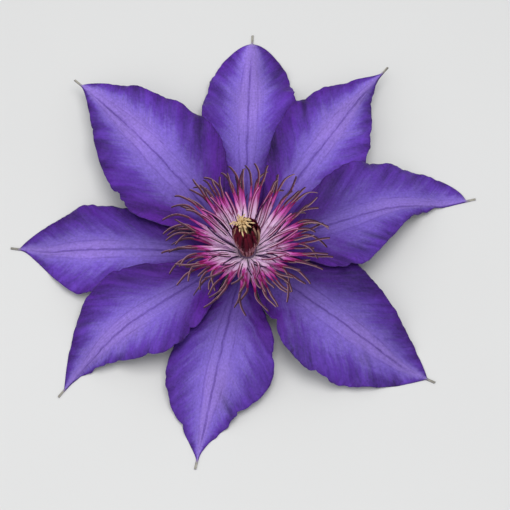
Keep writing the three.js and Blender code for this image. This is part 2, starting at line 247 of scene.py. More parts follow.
def strands(
    routes: Array,
    half_widths: Array,
    half_depths: Array,
    section: Array,
    facing: Array,
    twist: Array | float = 0.0,
    chance: Array | None = None,
) -> Surface:
    """Many closed strands at once, each a section carried along its own route.

    At each station the section's first way stands square to the route and to the facing, and
    its second way is square to the route and to the first. The twist turns the two about the
    route. The first ring is closed by a fan about the route's first point and the last ring by
    a fan to the route's last point.

    Args:
        routes: (strands, stations + 1, 3) places in millimetres.
        half_widths: (strands, stations) half sizes across.
        half_depths: (strands, stations) half sizes in depth.
        section: (corners, 2) closed outline in a unit square, counterclockwise.
        facing: Where the broad upper face looks, one way for all or one for each strand.
        twist: Turn of the section at each station, in radians.
        chance: A value from 0 to 1 for each strand, or none for an even draw.

    Returns:
        The surface, with mark "strand" holding share along, place across and the chance.
    """
    count, stations = routes.shape[0], routes.shape[1] - 1
    corners = len(section)
    along = unit(np.gradient(routes, axis=1))[:, :-1]
    level = unit(np.cross(np.broadcast_to(facing, along.shape), along))
    square = np.cross(along, level)
    turn = np.broadcast_to(np.asarray(twist, dtype=float), (count, stations))[..., None]
    across = level * np.cos(turn) + square * np.sin(turn)
    depth = square * np.cos(turn) - level * np.sin(turn)
    rings = (
        routes[:, :-1, None, :]
        + (across * half_widths[..., None])[:, :, None, :] * section[:, 0, None]
        + (depth * half_depths[..., None])[:, :, None, :] * section[:, 1, None]
    )
    block = stations * corners
    points = np.concatenate(
        [rings.reshape(count, block, 3), routes[:, :1], routes[:, -1:]], axis=1
    )
    marks = np.empty((count, block + 2, 3))
    marks[:, :, 0] = np.concatenate([np.repeat(np.linspace(0, 1, stations), corners), [0, 1]])
    marks[:, :, 1] = np.concatenate([np.tile(section[:, 0], stations), [0, 0]])
    even = 0.5 + 0.5 * draw(numbered(count, 0), Draw.STRAND_CHANCE)
    marks[:, :, 2] = even if chance is None else chance
    starts = (np.arange(count) * (block + 2))[:, None, None]
    corner = np.arange(corners)
    after = (corner + 1) % corners
    first = np.stack([after, corner, np.full(corners, block)], axis=1)
    last = np.stack(
        [block - corners + corner, block - corners + after, np.full(corners, block + 1)], axis=1
    )
    quads = grid_quads(stations, corners, wrapped=True)
    return Surface(
        points.reshape(-1, 3),
        [
            (quads[None] + starts).reshape(-1, 4),
            (np.concatenate([first, last])[None] + starts).reshape(-1, 3),
        ],
        {"strand": marks.reshape(-1, 3)},
    )


def oval(corners: int) -> Array:
    """A round section in the unit square: cosine across, sine in depth."""
    turn = np.arange(corners) * FULL_TURN / corners
    return np.stack([np.cos(turn), np.sin(turn)], axis=1)


def channelled(corners: int) -> Array:
    """A lens whose upper face is lowered by a bell along its middle, as a flat filament's is."""
    x, y = oval(corners).T
    return np.stack([x, np.where(y > 0, y * (1 - 0.55 * bell(x / 0.4)), y)], axis=1)


def two_lobed(corners: int) -> Array:
    """Two pollen sacs on the edges of a thin band: an oval's depth times 0.3 + 1.5 x^2."""
    x, y = oval(corners).T
    return np.stack([x, y * (0.3 + 1.5 * x * x)], axis=1)


def through(points: Sequence[Sequence[float]], shares: Array) -> Array:
    """A smooth curve through points: cubic steps whose end slopes are half the way between
    each point's two neighbours.

    Args:
        points: Places to pass through, in millimetres.
        shares: Shares of the way, from 0 at the first point to 1 at the last.

    Returns:
        One place for each share.
    """
    places = np.asarray(points, dtype=float)
    slopes = np.gradient(places, axis=0)
    step = np.clip(np.floor(shares * (len(places) - 1)), 0, len(places) - 2).astype(int)
    t = (shares * (len(places) - 1) - step)[:, None]
    rise = t * t * (3 - 2 * t)
    return (
        places[step] * (1 - rise)
        + places[step + 1] * rise
        + slopes[step] * (t * (1 - t) ** 2)
        - slopes[step + 1] * (t * t * (1 - t))
    )


def revolved(profile: Sequence[Sequence[float]], rows: int, corners: int) -> Surface:
    """A smooth profile of radius and height turned about the axis, from pole to pole.

    Args:
        profile: Radii and heights in millimetres, the first and last at radius 0.
        rows: Rings between the poles, the poles included.
        corners: Points in a ring.

    Returns:
        A closed surface with the same marks as a strand.
    """
    radius, height = through(profile, np.linspace(0, 1, rows)).T
    turn = np.linspace(0, FULL_TURN, corners, endpoint=False)
    inner = slice(1, -1)
    rings = polar(turn[None, :], np.abs(radius[inner, None]), 0.0, height[inner, None])
    poles = np.array([[0, 0, height[0]], [0, 0, height[-1]]])
    points = np.concatenate([rings.reshape(-1, 3), poles])
    corner = np.arange(corners)
    after = (corner + 1) % corners
    low, high = len(points) - 2, len(points) - 1
    top = low - corners
    caps = [
        np.stack([after, corner, np.full(corners, low)], axis=1),
        np.stack([top + corner, top + after, np.full(corners, high)], axis=1),
    ]
    marks = np.zeros((len(points), 3))
    marks[:, 0] = 0.5
    return Surface(points, [grid_quads(rows - 2, corners, wrapped=True), *caps], {"strand": marks})


# ------------------------------------------------------------------ shader expressions


@dataclass(frozen=True)
class Wire:
    """A shader value that takes part in sums. Each sum adds its Math node.

    Attributes:
        net: The nodes that it belongs to.
        socket: The output that it stands for.
    """

    net: "Net"
    socket: bpy.types.NodeSocket

    def __add__(self, other: "Wire | float") -> "Wire":
        """This value and another, added."""
        return self.net.math("ADD", self, other)

    def __radd__(self, other: float) -> "Wire":
        """A number and this value, added."""
        return self.net.math("ADD", other, self)

    def __sub__(self, other: "Wire | float") -> "Wire":
        """This value less another."""
        return self.net.math("SUBTRACT", self, other)

    def __rsub__(self, other: float) -> "Wire":
        """A number less this value."""
        return self.net.math("SUBTRACT", other, self)

    def __mul__(self, other: "Wire | float") -> "Wire":
        """This value times another."""
        return self.net.math("MULTIPLY", self, other)

    def __rmul__(self, other: float) -> "Wire":
        """A number times this value."""
        return self.net.math("MULTIPLY", other, self)

    def __abs__(self) -> "Wire":
        """This value without its sign."""
        return self.net.math("ABSOLUTE", self)


Value = Wire | float | Sequence[float]


class Net:
    """The node tree of one new material with a Principled shader.

    Attributes:
        material: The material.
        tree: Its node tree.
        shader: Its Principled shader.
    """

    def __init__(self, name: str, **constants: Any) -> None:
        """Makes the material.

        Args:
            name: Name of the material.
            constants: Fixed values for the shader's own sockets, with _ for spaces.
        """
        self.material = bpy.data.materials.new(name)
        self.material.use_nodes = True
        self.tree = self.material.node_tree
        self.shader = self.tree.nodes["Principled BSDF"]
        for key, value in constants.items():
            self.shader.inputs[key.replace("_", " ")].default_value = value

    def node(
        self,
        kind: str,
        settings: Mapping[str, Any] | None = None,
        inputs: Mapping[int | str, Value] | None = None,
        output: int | str = 0,
    ) -> Wire:
        """Adds one node.

        Args:
            kind: The node's type.
            settings: Properties of the node, set first.
            inputs: Values or links of its sockets, by number or name.
            output: The socket to hand back.

        Returns:
            The output socket as a wire.
        """
        made = self.tree.nodes.new(kind)
        for key, value in (settings or {}).items():
            setattr(made, key, value)
        for key, value in (inputs or {}).items():
            self.feed(made.inputs[key], value)
        return Wire(self, made.outputs[output])

    def feed(self, socket: bpy.types.NodeSocket, value: Value) -> None:
        """Links a wire to a socket, or sets the socket's number or colour.

        Args:
            socket: The socket of a node.
            value: A wire, a number, or a colour without its alpha.
        """
        if isinstance(value, Wire):
            self.tree.links.new(value.socket, socket)
        elif socket.type == "RGBA":
            socket.default_value = (*value, 1.0)
        else:
            socket.default_value = value

    def math(self, operation: str, a: Value, b: Value = 0.0) -> Wire:
        """One Math node."""
        return self.node("ShaderNodeMath", {"operation": operation}, {0: a, 1: b})

    def smooth(self, value: Wire, low: float, high: float) -> Wire:
        """A smooth step.

        Args:
            value: What the step goes by.
            low: Where the step is 0.
            high: Where the step is 1. It may be the smaller of the two.

        Returns:
            A value from 0 to 1.
        """
        start, end = (low, high) if low < high else (high, low)
        eased = self.node(
            "ShaderNodeMapRange",
            {"interpolation_type": "SMOOTHSTEP"},
            {"Value": value, "From Min": start, "From Max": end},
        )
        return eased if low < high else 1.0 - eased

    def mix(self, share: Value, a: Value, b: Value) -> Wire:
        """Colour a turning into colour b as the share goes from 0 to 1."""
        inputs = {0: share, 6: a, 7: b}
        return self.node("ShaderNodeMix", {"data_type": "RGBA"}, inputs, output=2)

    def shaded(self, colour: Wire, share: Value) -> Wire:
        """A colour times a grey share."""
        inputs = {0: colour, 1: self.place(share, share, share)}
        return self.node("ShaderNodeVectorMath", {"operation": "MULTIPLY"}, inputs)

    def mark(self, name: str) -> tuple[Wire, Wire, Wire]:
        """Reads a point attribute.

        Args:
            name: Name of the attribute.

        Returns:
            Its three numbers.
        """
        vector = self.node("ShaderNodeAttribute", {"attribute_name": name}, output="Vector")
        parts = self.node("ShaderNodeSeparateXYZ", None, {0: vector})
        outputs = parts.socket.node.outputs
        return Wire(self, outputs[0]), Wire(self, outputs[1]), Wire(self, outputs[2])

    def place(self, x: Value, y: Value, z: Value = 0.0) -> Wire:
        """A vector from three values."""
        return self.node("ShaderNodeCombineXYZ", None, {0: x, 1: y, 2: z})

    def noise(self, place: Wire, scale: float = 1.0, detail: float = 2.0) -> Wire:
        """Smooth noise about 0.5 at a place."""
        inputs = {"Vector": place, "Scale": scale, "Detail": detail}
        return self.node("ShaderNodeTexNoise", None, inputs)

    def grain(
        self,
        strand: tuple[Wire, Wire, Wire],
        across: float,
        along: float,
        detail: float = 3.0,
        apart: float = 40.0,
    ) -> Wire:
        """Smooth noise over a strand, different on each one.

        Args:
            strand: The strand's share along, place across and chance.
            across: Grains across half the strand.
            along: Grains along the strand.
            detail: Levels of finer noise in it.
            apart: How far apart in the noise the strands of chance 0 and 1 lie.

        Returns:
            The noise, about 0.5.
        """
        way, side, chance = strand
        return self.noise(self.place(side * across, way * along, chance * apart), 1.0, detail)

    def bump(self, height: Wire, depth_mm: float) -> None:
        """Raises the surface by a height of 0 to 1 over a depth in millimetres."""
        inputs = {"Height": height, "Distance": depth_mm * MM, "Strength": 1.0}
        self.feed(self.shader.inputs["Normal"], self.node("ShaderNodeBump", None, inputs))

    def finish(self, colour: Wire, roughness: Value) -> bpy.types.Material:
        """Feeds the shader's colour and roughness.

        Args:
            colour: The surface's colour.
            roughness: The surface's roughness.

        Returns:
            The finished material.
        """
        self.feed(self.shader.inputs["Base Color"], colour)
        self.feed(self.shader.inputs["Roughness"], roughness)
        return self.material


# ------------------------------------------------------------------ finishes


class Blade:
    """A tepal's marks as wires, with the noises that several of its markings read.

    Attributes:
        across: Distance to the left of the midrib, in millimetres.
        along: Distance from the flower's axis, in millimetres.
        edge: Distance from the margin, in millimetres.
        share: Share across, from -1 at the right margin to 1 at the left one.
        way: Share of the length.
        back: 1 on the lower face.
        tone: Painted light and shade: how light the place is.
        seed: The tepal's own number, for its noises.
        zone: Number of the colour zone, about 0 at the midrib and 1 at the margin.
        v: Share across, from the midrib to either margin.
        lateral: Distance from the midrib, in millimetres.
        half: The side's half width, in millimetres.
        rank: The side vein's number: the distance along less a multiple of the distance across.
        sway: A slow shift across, as a share.
        held: 1 between the claw and the tail.
        outer: 1 outside the bar.
        drift: Slow noise about 0.
        streak: Noise about 0, drawn out along the side veins.
        feather: The same, three times as fine.
    """

    def __init__(self, net: Net) -> None:
        """Reads the marks.

        Args:
            net: The material's nodes.
        """
        self.net = net
        self.across, self.along, self.edge = net.mark("place")
        self.share, self.way, self.back = net.mark("share")
        self.tone, self.seed, self.zone = net.mark("tone")
        self.lateral, self.v = abs(self.across), abs(self.share)
        self.half = self.edge + self.lateral
        wander = self.noise(self.across, self.along, scale=0.16)
        self.rank = self.along - VEIN_SLOPE * self.lateral + 2.4 * wander
        self.sway = 0.05 * (self.noise(self.share * 1.5, self.along * 0.09) - 0.5)
        self.held = net.smooth(self.way, 0.04, 0.14) * net.smooth(self.way, 0.94, 0.8)
        self.outer = net.smooth(self.v, 0.12, 0.5)
        self.drift = self.noise(self.across * 0.12, self.along * 0.06, 4.0) - 0.5
        self.streak = self.veined(0.8, 0.13, 4.0) - 0.5
        self.feather = self.veined(2.3, 0.35, 4.0) - 0.5

    def noise(self, x: Value, y: Value, detail: float = 2.0, scale: float = 1.0) -> Wire:
        """Smooth noise about 0.5 at a place, different on each tepal."""
        return self.net.noise(self.net.place(x, y, self.seed), scale, detail)

    def veined(self, ranks: float, out: float, detail: float = 2.0) -> Wire:
        """Smooth noise about 0.5, drawn out along the side veins."""
        return self.noise(self.rank * ranks, self.lateral * out, detail)


class BladeLines:
    """The dark lines of a tepal, each a wire from 0 to 1.

    Attributes:
        midrib: The wavering line along the midrib.
        rib: The side ribs, a fifth of the way out, and broken here and there.
        fine: Fine veins that run the length of the bar.
        side: Side veins outside the bar.
        stroke: Short strokes square to the margin.
        all: The deepest of the lines at each place, the strokes left out.
    """

    def __init__(self, net: Net, blade: Blade) -> None:
        """Draws the lines.

        Args:
            net: The material's nodes.
            blade: The tepal's marks.
        """
        v, held = blade.v + blade.sway, blade.held
        broken = net.smooth(blade.noise(blade.share * 2.0, blade.along * 0.13), 0.3, 0.62)
        wiggle = 1.1 * (blade.noise(0.0, blade.along * 0.2, 3.0) - 0.5)
        self.midrib = net.smooth(abs(blade.across + wiggle), 0.42, 0.05) * held
        self.midrib = self.midrib * (0.55 + 0.45 * broken)
        self.rib = net.smooth(abs(v - 0.2) * blade.half, 0.36, 0.05) * held * broken
        outer_rib = net.smooth(abs(v - 0.42) * blade.half, 0.4, 0.05) * held * broken
        fine = net.smooth(blade.noise(blade.across * 2.4, blade.along * 0.07, 3.0), 0.5, 0.7)
        self.fine = fine * net.smooth(blade.v, 0.5, 0.24) * held
        self.side = net.smooth(blade.veined(1.5, 0.1), 0.56, 0.74)
        self.side = self.side * net.smooth(blade.v, 0.22, 0.55)
        stroke = blade.noise(blade.along * 1.3, blade.edge * 0.14, 3.0)
        self.stroke = net.smooth(stroke, 0.52, 0.7) * net.smooth(blade.edge, 4.2, 0.6)
        self.all = self.midrib * 0.56
        for line in (self.rib * 0.3, outer_rib * 0.14, self.fine * 0.2, self.side * 0.3):
            self.all = net.math("MAXIMUM", self.all, line)


@dataclass(frozen=True)
class TepalFinish:
    """A violet blade: pale lilac bar, blue-violet flanks, deep purple margin, fine veins.

    Attributes:
        bar: Colour between the side ribs.
        shaded_bar: The same near the root, bluer and darker: painted shade under the stamens.
        flank: Colour beside the bar.
        middle: Colour half way out.
        margin: Colour at the margin.
        lobe: Colour near the root, most of all away from the bar: the lobes' deeper purple, and partly
            painted shade under the stamens.
        vein: Colour of the lines.
        edge: Colour of the strokes and of the very edge.
        tail: Colour of the dry tail.
        back: Colour of the underside.
        back_bar: The same, between the ribs.
    """

    bar: Colour = (0.295, 0.187, 0.655)
    shaded_bar: Colour = (0.258, 0.166, 0.665)
    flank: Colour = (0.195, 0.118, 0.57)
    middle: Colour = (0.110, 0.040, 0.375)
    margin: Colour = (0.070, 0.014, 0.238)
    lobe: Colour = (0.096, 0.012, 0.285)
    vein: Colour = (0.085, 0.028, 0.28)
    edge: Colour = (0.075, 0.016, 0.20)
    tail: Colour = (0.40, 0.38, 0.32)
    back: Colour = (0.30, 0.26, 0.50)
    back_bar: Colour = (0.36, 0.40, 0.30)

    def zones(self, net: Net, blade: Blade) -> Wire:
        """The colour by the zone number, which goes up from the midrib to the margin.

        Slow noise and streaks along the side veins shift the number. The bar's edge follows the
        side ribs, and the colours from there to the margin pass smoothly into one another.

        Args:
            net: The material's nodes.
            blade: The tepal's marks.

        Returns:
            The upper face's colour, its lines left out.
        """
        finger = blade.veined(0.26, 0.05) - 0.5
        fleck = blade.noise(blade.across * 0.9, blade.along * 0.5, 3.0) - 0.5
        streaks = 0.45 * finger + 0.36 * blade.streak + 0.28 * blade.feather
        shifted = blade.zone + 0.3 * blade.drift + 0.14 * fleck + streaks * blade.outer
        band = net.smooth(blade.v + blade.sway + 0.25 * blade.drift, 0.17, 0.25) * blade.held
        beside = net.smooth(shifted, 0.14, 0.42)
        # Painted shade: the bar turns bluer and darker towards the root, under the stamens.
        bar = net.mix(net.smooth(blade.way, 0.62, 0.42), self.bar, self.shaded_bar)
        colour = net.mix(0.62 * beside + 0.38 * band, bar, self.flank)
        colour = net.mix(net.smooth(shifted, 0.3, 0.6), colour, self.middle)
        colour = net.mix(net.smooth(shifted, 0.56, 0.92), colour, self.margin)
        # The lobes' deeper purple near the root, partly painted shade under the stamens.
        inner = net.smooth(blade.way, 0.46, 0.22)
        lobe_and_root_shade = inner * (0.34 + 0.66 * net.smooth(shifted, 0.24, 0.66))
        return net.mix(lobe_and_root_shade, colour, self.lobe)

    def underside(self, net: Net, blade: Blade, lines: BladeLines) -> Wire:
        """The lower face's colour: a greenish bar, pale sides that deepen outwards, and lines.

        Args:
            net: The material's nodes.
            blade: The tepal's marks.
            lines: The tepal's lines.

        Returns:
            The lower face's colour.
        """
        under = net.mix(net.smooth(blade.v, 0.1, 0.32), self.back_bar, self.back)
        under = net.mix(net.smooth(blade.v, 0.5, 1.0) * 0.55, under, self.middle)
        return net.mix(lines.all * 0.7, under, self.vein)

    def light(self, net: Net, blade: Blade) -> Wire:
        """How light each place is: the side's painted light and shade, painted shade of soft
        creases near the margin, and streaks and mottle.

        Args:
            net: The material's nodes.
            blade: The tepal's marks.

        Returns:
            A share to multiply the colour by.
        """
        mottle = blade.noise(blade.across * 1.5, blade.along * 1.1, 4.0) - 0.5
        # Painted shade of soft creases near the margin.
        fold_shade = blade.noise(blade.rank * 0.17, blade.share * 1.2) - 0.5
        mottle_and_fold_shade = (0.7 * blade.streak + blade.feather) * blade.outer + 0.4 * blade.drift
        mottle_and_fold_shade = mottle_and_fold_shade + 0.8 * mottle + 2.0 * fold_shade * net.smooth(blade.v, 0.35, 0.85)
        # Darker towards the tip, and towards the root, where it is painted shade under the stamens.
        tip, root = net.smooth(blade.way, 0.62, 0.9), net.smooth(blade.way, 0.6, 0.24)
        return blade.tone * (0.92 - 0.08 * tip - 0.2 * root) * (1.0 + mottle_and_fold_shade)

    def material(self) -> bpy.types.Material:
        """The blade's material: zones, lines, margin and tail above, the pale back below.

        Returns:
            The material.
        """
        net = Net("tepal", Specular_IOR_Level=0.16, Sheen_Weight=0.04, Sheen_Roughness=0.5)
        blade = Blade(net)
        lines = BladeLines(net, blade)
        colour = net.mix(lines.all, self.zones(net, blade), self.vein)
        colour = net.mix(lines.stroke * 0.5, colour, self.edge)
        colour = net.mix(net.smooth(blade.edge, 0.5, 0.05) * 0.45, colour, self.edge)
        colour = net.mix(net.smooth(blade.way, 0.945, 0.975), colour, self.tail)
        colour = net.mix(blade.back, colour, self.underside(net, blade, lines))
        grain = blade.noise(blade.across, blade.along, 3.0, 2.6)
        ribbed = 0.6 - 0.5 * lines.midrib - 0.25 * lines.rib + 0.3 * lines.side
        net.bump(ribbed - 0.3 * lines.stroke - 0.1 * lines.fine + 0.3 * grain, 0.3)
        return net.finish(net.shaded(colour, self.light(net, blade)), 0.5 + 0.2 * grain)


@dataclass(frozen=True)
class FilamentFinish:
    """A flat filament.

    Attributes:
        root: Colour at the root.
        pale: Colour of its inner half.
        magenta: Colour further out.
        crimson: Colour at the anther, of the outer rims and of the blots.
        shadow: Painted shadow between the filaments: the colour of the dark rims near the root.
    """

    root: Colour = (0.92, 0.80, 0.95)
    pale: Colour = (0.95, 0.69, 0.95)
    magenta: Colour = (0.58, 0.085, 0.43)
    crimson: Colour = (0.24, 0.005, 0.085)
    shadow: Colour = (0.075, 0.023, 0.10)

    def material(self) -> bpy.types.Material:
        """The filament's material: colour by the share along, streaked along the strand.

        The rims are crimson in the outer part, and darkened by painted shadow near the root on
        strands of low chance.
        Blots of crimson lie along the outer half.

        Returns:
            The material.
        """
        net = Net("filament", Specular_IOR_Level=0.2)
        strand = along, across, chance = net.mark("strand")
        streak = net.grain(strand, 2.6, 2.2) - 0.5
        fleck = net.grain(strand, 3.4, 9.0)
        shifted = along + 0.34 * streak + 0.12 * (0.5 - chance)
        colour = net.mix(net.smooth(along, 0.0, 0.26), self.root, self.pale)
        colour = net.mix(net.smooth(shifted, 0.46, 0.82), colour, self.magenta)
        colour = net.mix(net.smooth(shifted, 0.78, 0.98), colour, self.crimson)
        rim = net.smooth(abs(across), 0.62, 0.92)
        outer = net.smooth(along + 0.6 * chance, 0.75, 1.1)
        colour = net.mix(rim * outer * 0.75, colour, self.crimson)
        blot = net.grain(strand, 0.9, 5.0, detail=2.0, apart=90.0) + 0.1 * abs(across)
        blot = net.smooth(blot, 0.6, 0.7) * net.smooth(along, 0.3, 0.5)
        colour = net.mix(blot * 0.8, colour, self.crimson)
        # Painted shadow: dark rims near the root stand for the shade between the filaments.
        inner = net.smooth(chance, 0.48, 0.36) * net.smooth(along, 0.5, 0.2)
        colour = net.mix(rim * inner * 0.9, colour, self.shadow)
        colour = net.shaded(colour, 0.85 + 0.46 * fleck)
        net.bump(net.grain(strand, 4.0, 3.0, detail=2.0), 0.12)
        return net.finish(colour, 0.6 + 0.2 * streak)


@dataclass(frozen=True)
class AntherFinish:
    """Two dusty pollen sacs on the edges of a coloured band.

    Attributes:
        dust: Colour of the sacs.
        shade: Colour of the sacs' darker patches, partly grain and partly painted shade.
        band: Colour of the band at its root.
        band_tip: Colour of the band at its tip.
        line: Colour of the line between band and sac.
        band_edge: Share across where the band gives way to the line.
    """

    dust: Colour = (0.31, 0.175, 0.195)
    shade: Colour = (0.045, 0.022, 0.042)
    band: Colour = (0.24, 0.012, 0.075)
    band_tip: Colour = (0.10, 0.028, 0.06)
    line: Colour = (0.055, 0.010, 0.04)
    band_edge: float = 0.16

    def material(self, name: str) -> bpy.types.Material:
        """The anther's material: the band along the middle, a line, and sacs with dusty grain and
        painted shade on one side.

        Args:
            name: Name of the material.

        Returns:
            The material.
        """
        net = Net(name, Specular_IOR_Level=0.15)
        strand = along, across, chance = net.mark("strand")
        grain = net.grain(strand, 3.0, 16.0)
        side = abs(across)
        # Painted shade: one side of each anther is darker, and so are stamens of higher chance.
        grain_and_shade = net.smooth(grain + 0.4 * (chance - 0.5) + 0.4 * across, 0.34, 0.52)
        sac = net.mix(grain_and_shade * 0.95, self.dust, self.shade)
        band = net.mix(net.smooth(along, 0.0, 0.7), self.band, self.band_tip)
        colour = net.mix(net.smooth(side, self.band_edge, self.band_edge + 0.1), band, self.line)
        rim = self.band_edge + 0.15
        colour = net.mix(net.smooth(side, rim, rim + 0.2), colour, sac)
        net.bump(grain, 0.15)
        return net.finish(colour, 0.8 + 0.1 * grain)


RIMMED_ANTHER = AntherFinish(
    dust=(0.21, 0.022, 0.085),
    shade=(0.030, 0.008, 0.036),
    band=(0.92, 0.67, 0.88),
    band_tip=(0.50, 0.16, 0.36),
    line=(0.16, 0.02, 0.08),
    band_edge=0.38,
)
DARK_ANTHER = AntherFinish(
    dust=(0.070, 0.030, 0.110),
    shade=(0.022, 0.010, 0.050),
    band=(0.16, 0.06, 0.20),
    band_tip=(0.10, 0.02, 0.08),
    line=(0.03, 0.01, 0.05),
    band_edge=0.1,
)


@dataclass(frozen=True)
class CupFinish:
    """An erect inner stamen.

    Attributes:
        foot: Colour of the pale foot.
        streak: Colour of the foot's lines.
        maroon: Colour along the middle of the velvet upper part.
        deep: Colour towards its edges.
        dusty: Colour of the pollen along the edges of a few.
    """

    foot: Colour = (0.52, 0.28, 0.28)
    streak: Colour = (0.20, 0.03, 0.06)
    maroon: Colour = (0.125, 0.007, 0.020)
    deep: Colour = (0.058, 0.004, 0.014)
    dusty: Colour = (0.45, 0.27, 0.18)

    def material(self) -> bpy.types.Material:
        """The cup's material: colour by the share along, and a few stamens with dusty edges.

        Returns:
            The material.
        """
        net = Net("cup", Specular_IOR_Level=0.12)
        strand = along, across, chance = net.mark("strand")
        grain = net.grain(strand, 2.4, 7.0) - 0.5
        shifted = along + 0.7 * grain - 0.7 * (chance - 0.5)
        lined = net.smooth(grain + 0.25 * abs(across), 0.14, 0.26)
        foot = net.mix(lined, self.foot, self.streak)
        velvet = net.mix(net.smooth(abs(across), 0.25, 0.9), self.maroon, self.deep)
        colour = net.mix(net.smooth(shifted, 0.48, 0.68), foot, velvet)
        edged = net.smooth(chance, 0.68, 0.76) * net.smooth(abs(across), 0.45, 0.75)
        colour = net.mix(edged * net.smooth(along, 0.3, 0.5) * 0.85, colour, self.dusty)
        net.bump(grain, 0.15)
        return net.finish(colour, 0.75 + 0.3 * grain)


@dataclass(frozen=True)
class StyleFinish:
    """A cream style, greener at the root and lighter at the stigma.

    Attributes:
        root: Colour at the root.
        cream: Colour of the style.
        tip: Colour of the stigma.
    """

    root: Colour = (0.30, 0.24, 0.09)
    cream: Colour = (0.50, 0.34, 0.11)
    tip: Colour = (0.69, 0.48, 0.25)

    def material(self) -> bpy.types.Material:
        """The style's material: colour by the share along.

        Returns:
            The material.
        """
        net = Net("style", Specular_IOR_Level=0.2, Sheen_Weight=0.08)
        strand = net.mark("strand")
        along = strand[0]
        grain = net.grain(strand, 2.0, 9.0, detail=2.0)
        colour = net.mix(net.smooth(along, 0.3, 0.75), self.root, self.cream)
        colour = net.mix(net.smooth(along + 0.4 * (grain - 0.5), 0.72, 1.0), colour, self.tip)
        colour = net.shaded(colour, 0.7 + 0.6 * grain)
        net.bump(grain, 0.12)
        return net.finish(colour, 0.5 + 0.2 * grain)


@dataclass(frozen=True)
class StalkFinish:
    """A green stalk, flushed purple, with a pale cut end.

    Attributes:
        green: Colour of most of it.
        purple: Colour of the flush.
        cut: Colour of the cut end.
    """

    green: Colour = (0.17, 0.26, 0.07)
    purple: Colour = (0.13, 0.06, 0.09)
    cut: Colour = (0.48, 0.52, 0.30)

    def material(self) -> bpy.types.Material:
        """The stalk's material, by its own share along and by Object coordinates.

        Returns:
            The material.
        """
        net = Net("stalk", Specular_IOR_Level=0.3)
        along, across, _ = net.mark("strand")
        where = net.node("ShaderNodeTexCoord", output="Object")
        grain = net.noise(where, 900.0, 3.0)
        colour = net.mix(net.smooth(grain + 0.2 * across, 0.42, 0.75), self.green, self.purple)
        colour = net.mix(net.smooth(along, 0.985, 0.995), colour, self.cut)
        net.bump(grain, 0.15)
        return net.finish(colour, 0.5 + 0.25 * grain)


@dataclass(frozen=True)
class HairFinish:
    """Short silvery down.

    Attributes:
        silver: Colour at the tips.
        green: Colour at the roots.
    """

    silver: Colour = (0.62, 0.64, 0.56)
    green: Colour = (0.30, 0.36, 0.20)

    def material(self) -> bpy.types.Material:
        """The down's material: paler to the tip.

        Returns:
            The material.
        """
        net = Net("down", Specular_IOR_Level=0.3)
        along, _, chance = net.mark("strand")
        colour = net.mix(net.smooth(along + 0.3 * chance, 0.1, 0.8), self.green, self.silver)
        return net.finish(colour, 0.5 + 0.1 * chance)


@dataclass(frozen=True)
class FloorFinish:
    """A plain pale floor with the faintest mottle.

    Attributes:
        light: The paler of its two colours.
        dark: The darker one.
    """

    light: Colour = (0.70, 0.695, 0.68)
    dark: Colour = (0.67, 0.665, 0.65)

    def material(self) -> bpy.types.Material:
        """The floor's material, on Object coordinates.

        Returns:
            The material.
        """
        net = Net("floor", Specular_IOR_Level=0.05)
        where = net.node("ShaderNodeTexCoord", output="Object")
        mottle = net.noise(where, 9.0, 3.0)
        return net.finish(net.mix(mottle, self.light, self.dark), 0.85 + 0.1 * mottle)


# ------------------------------------------------------------------ tepals


class Lie(Enum):
    """How a tepal's side lies on its neighbour: its margin lifts or dips."""

    OVER = 1
    UNDER = -1


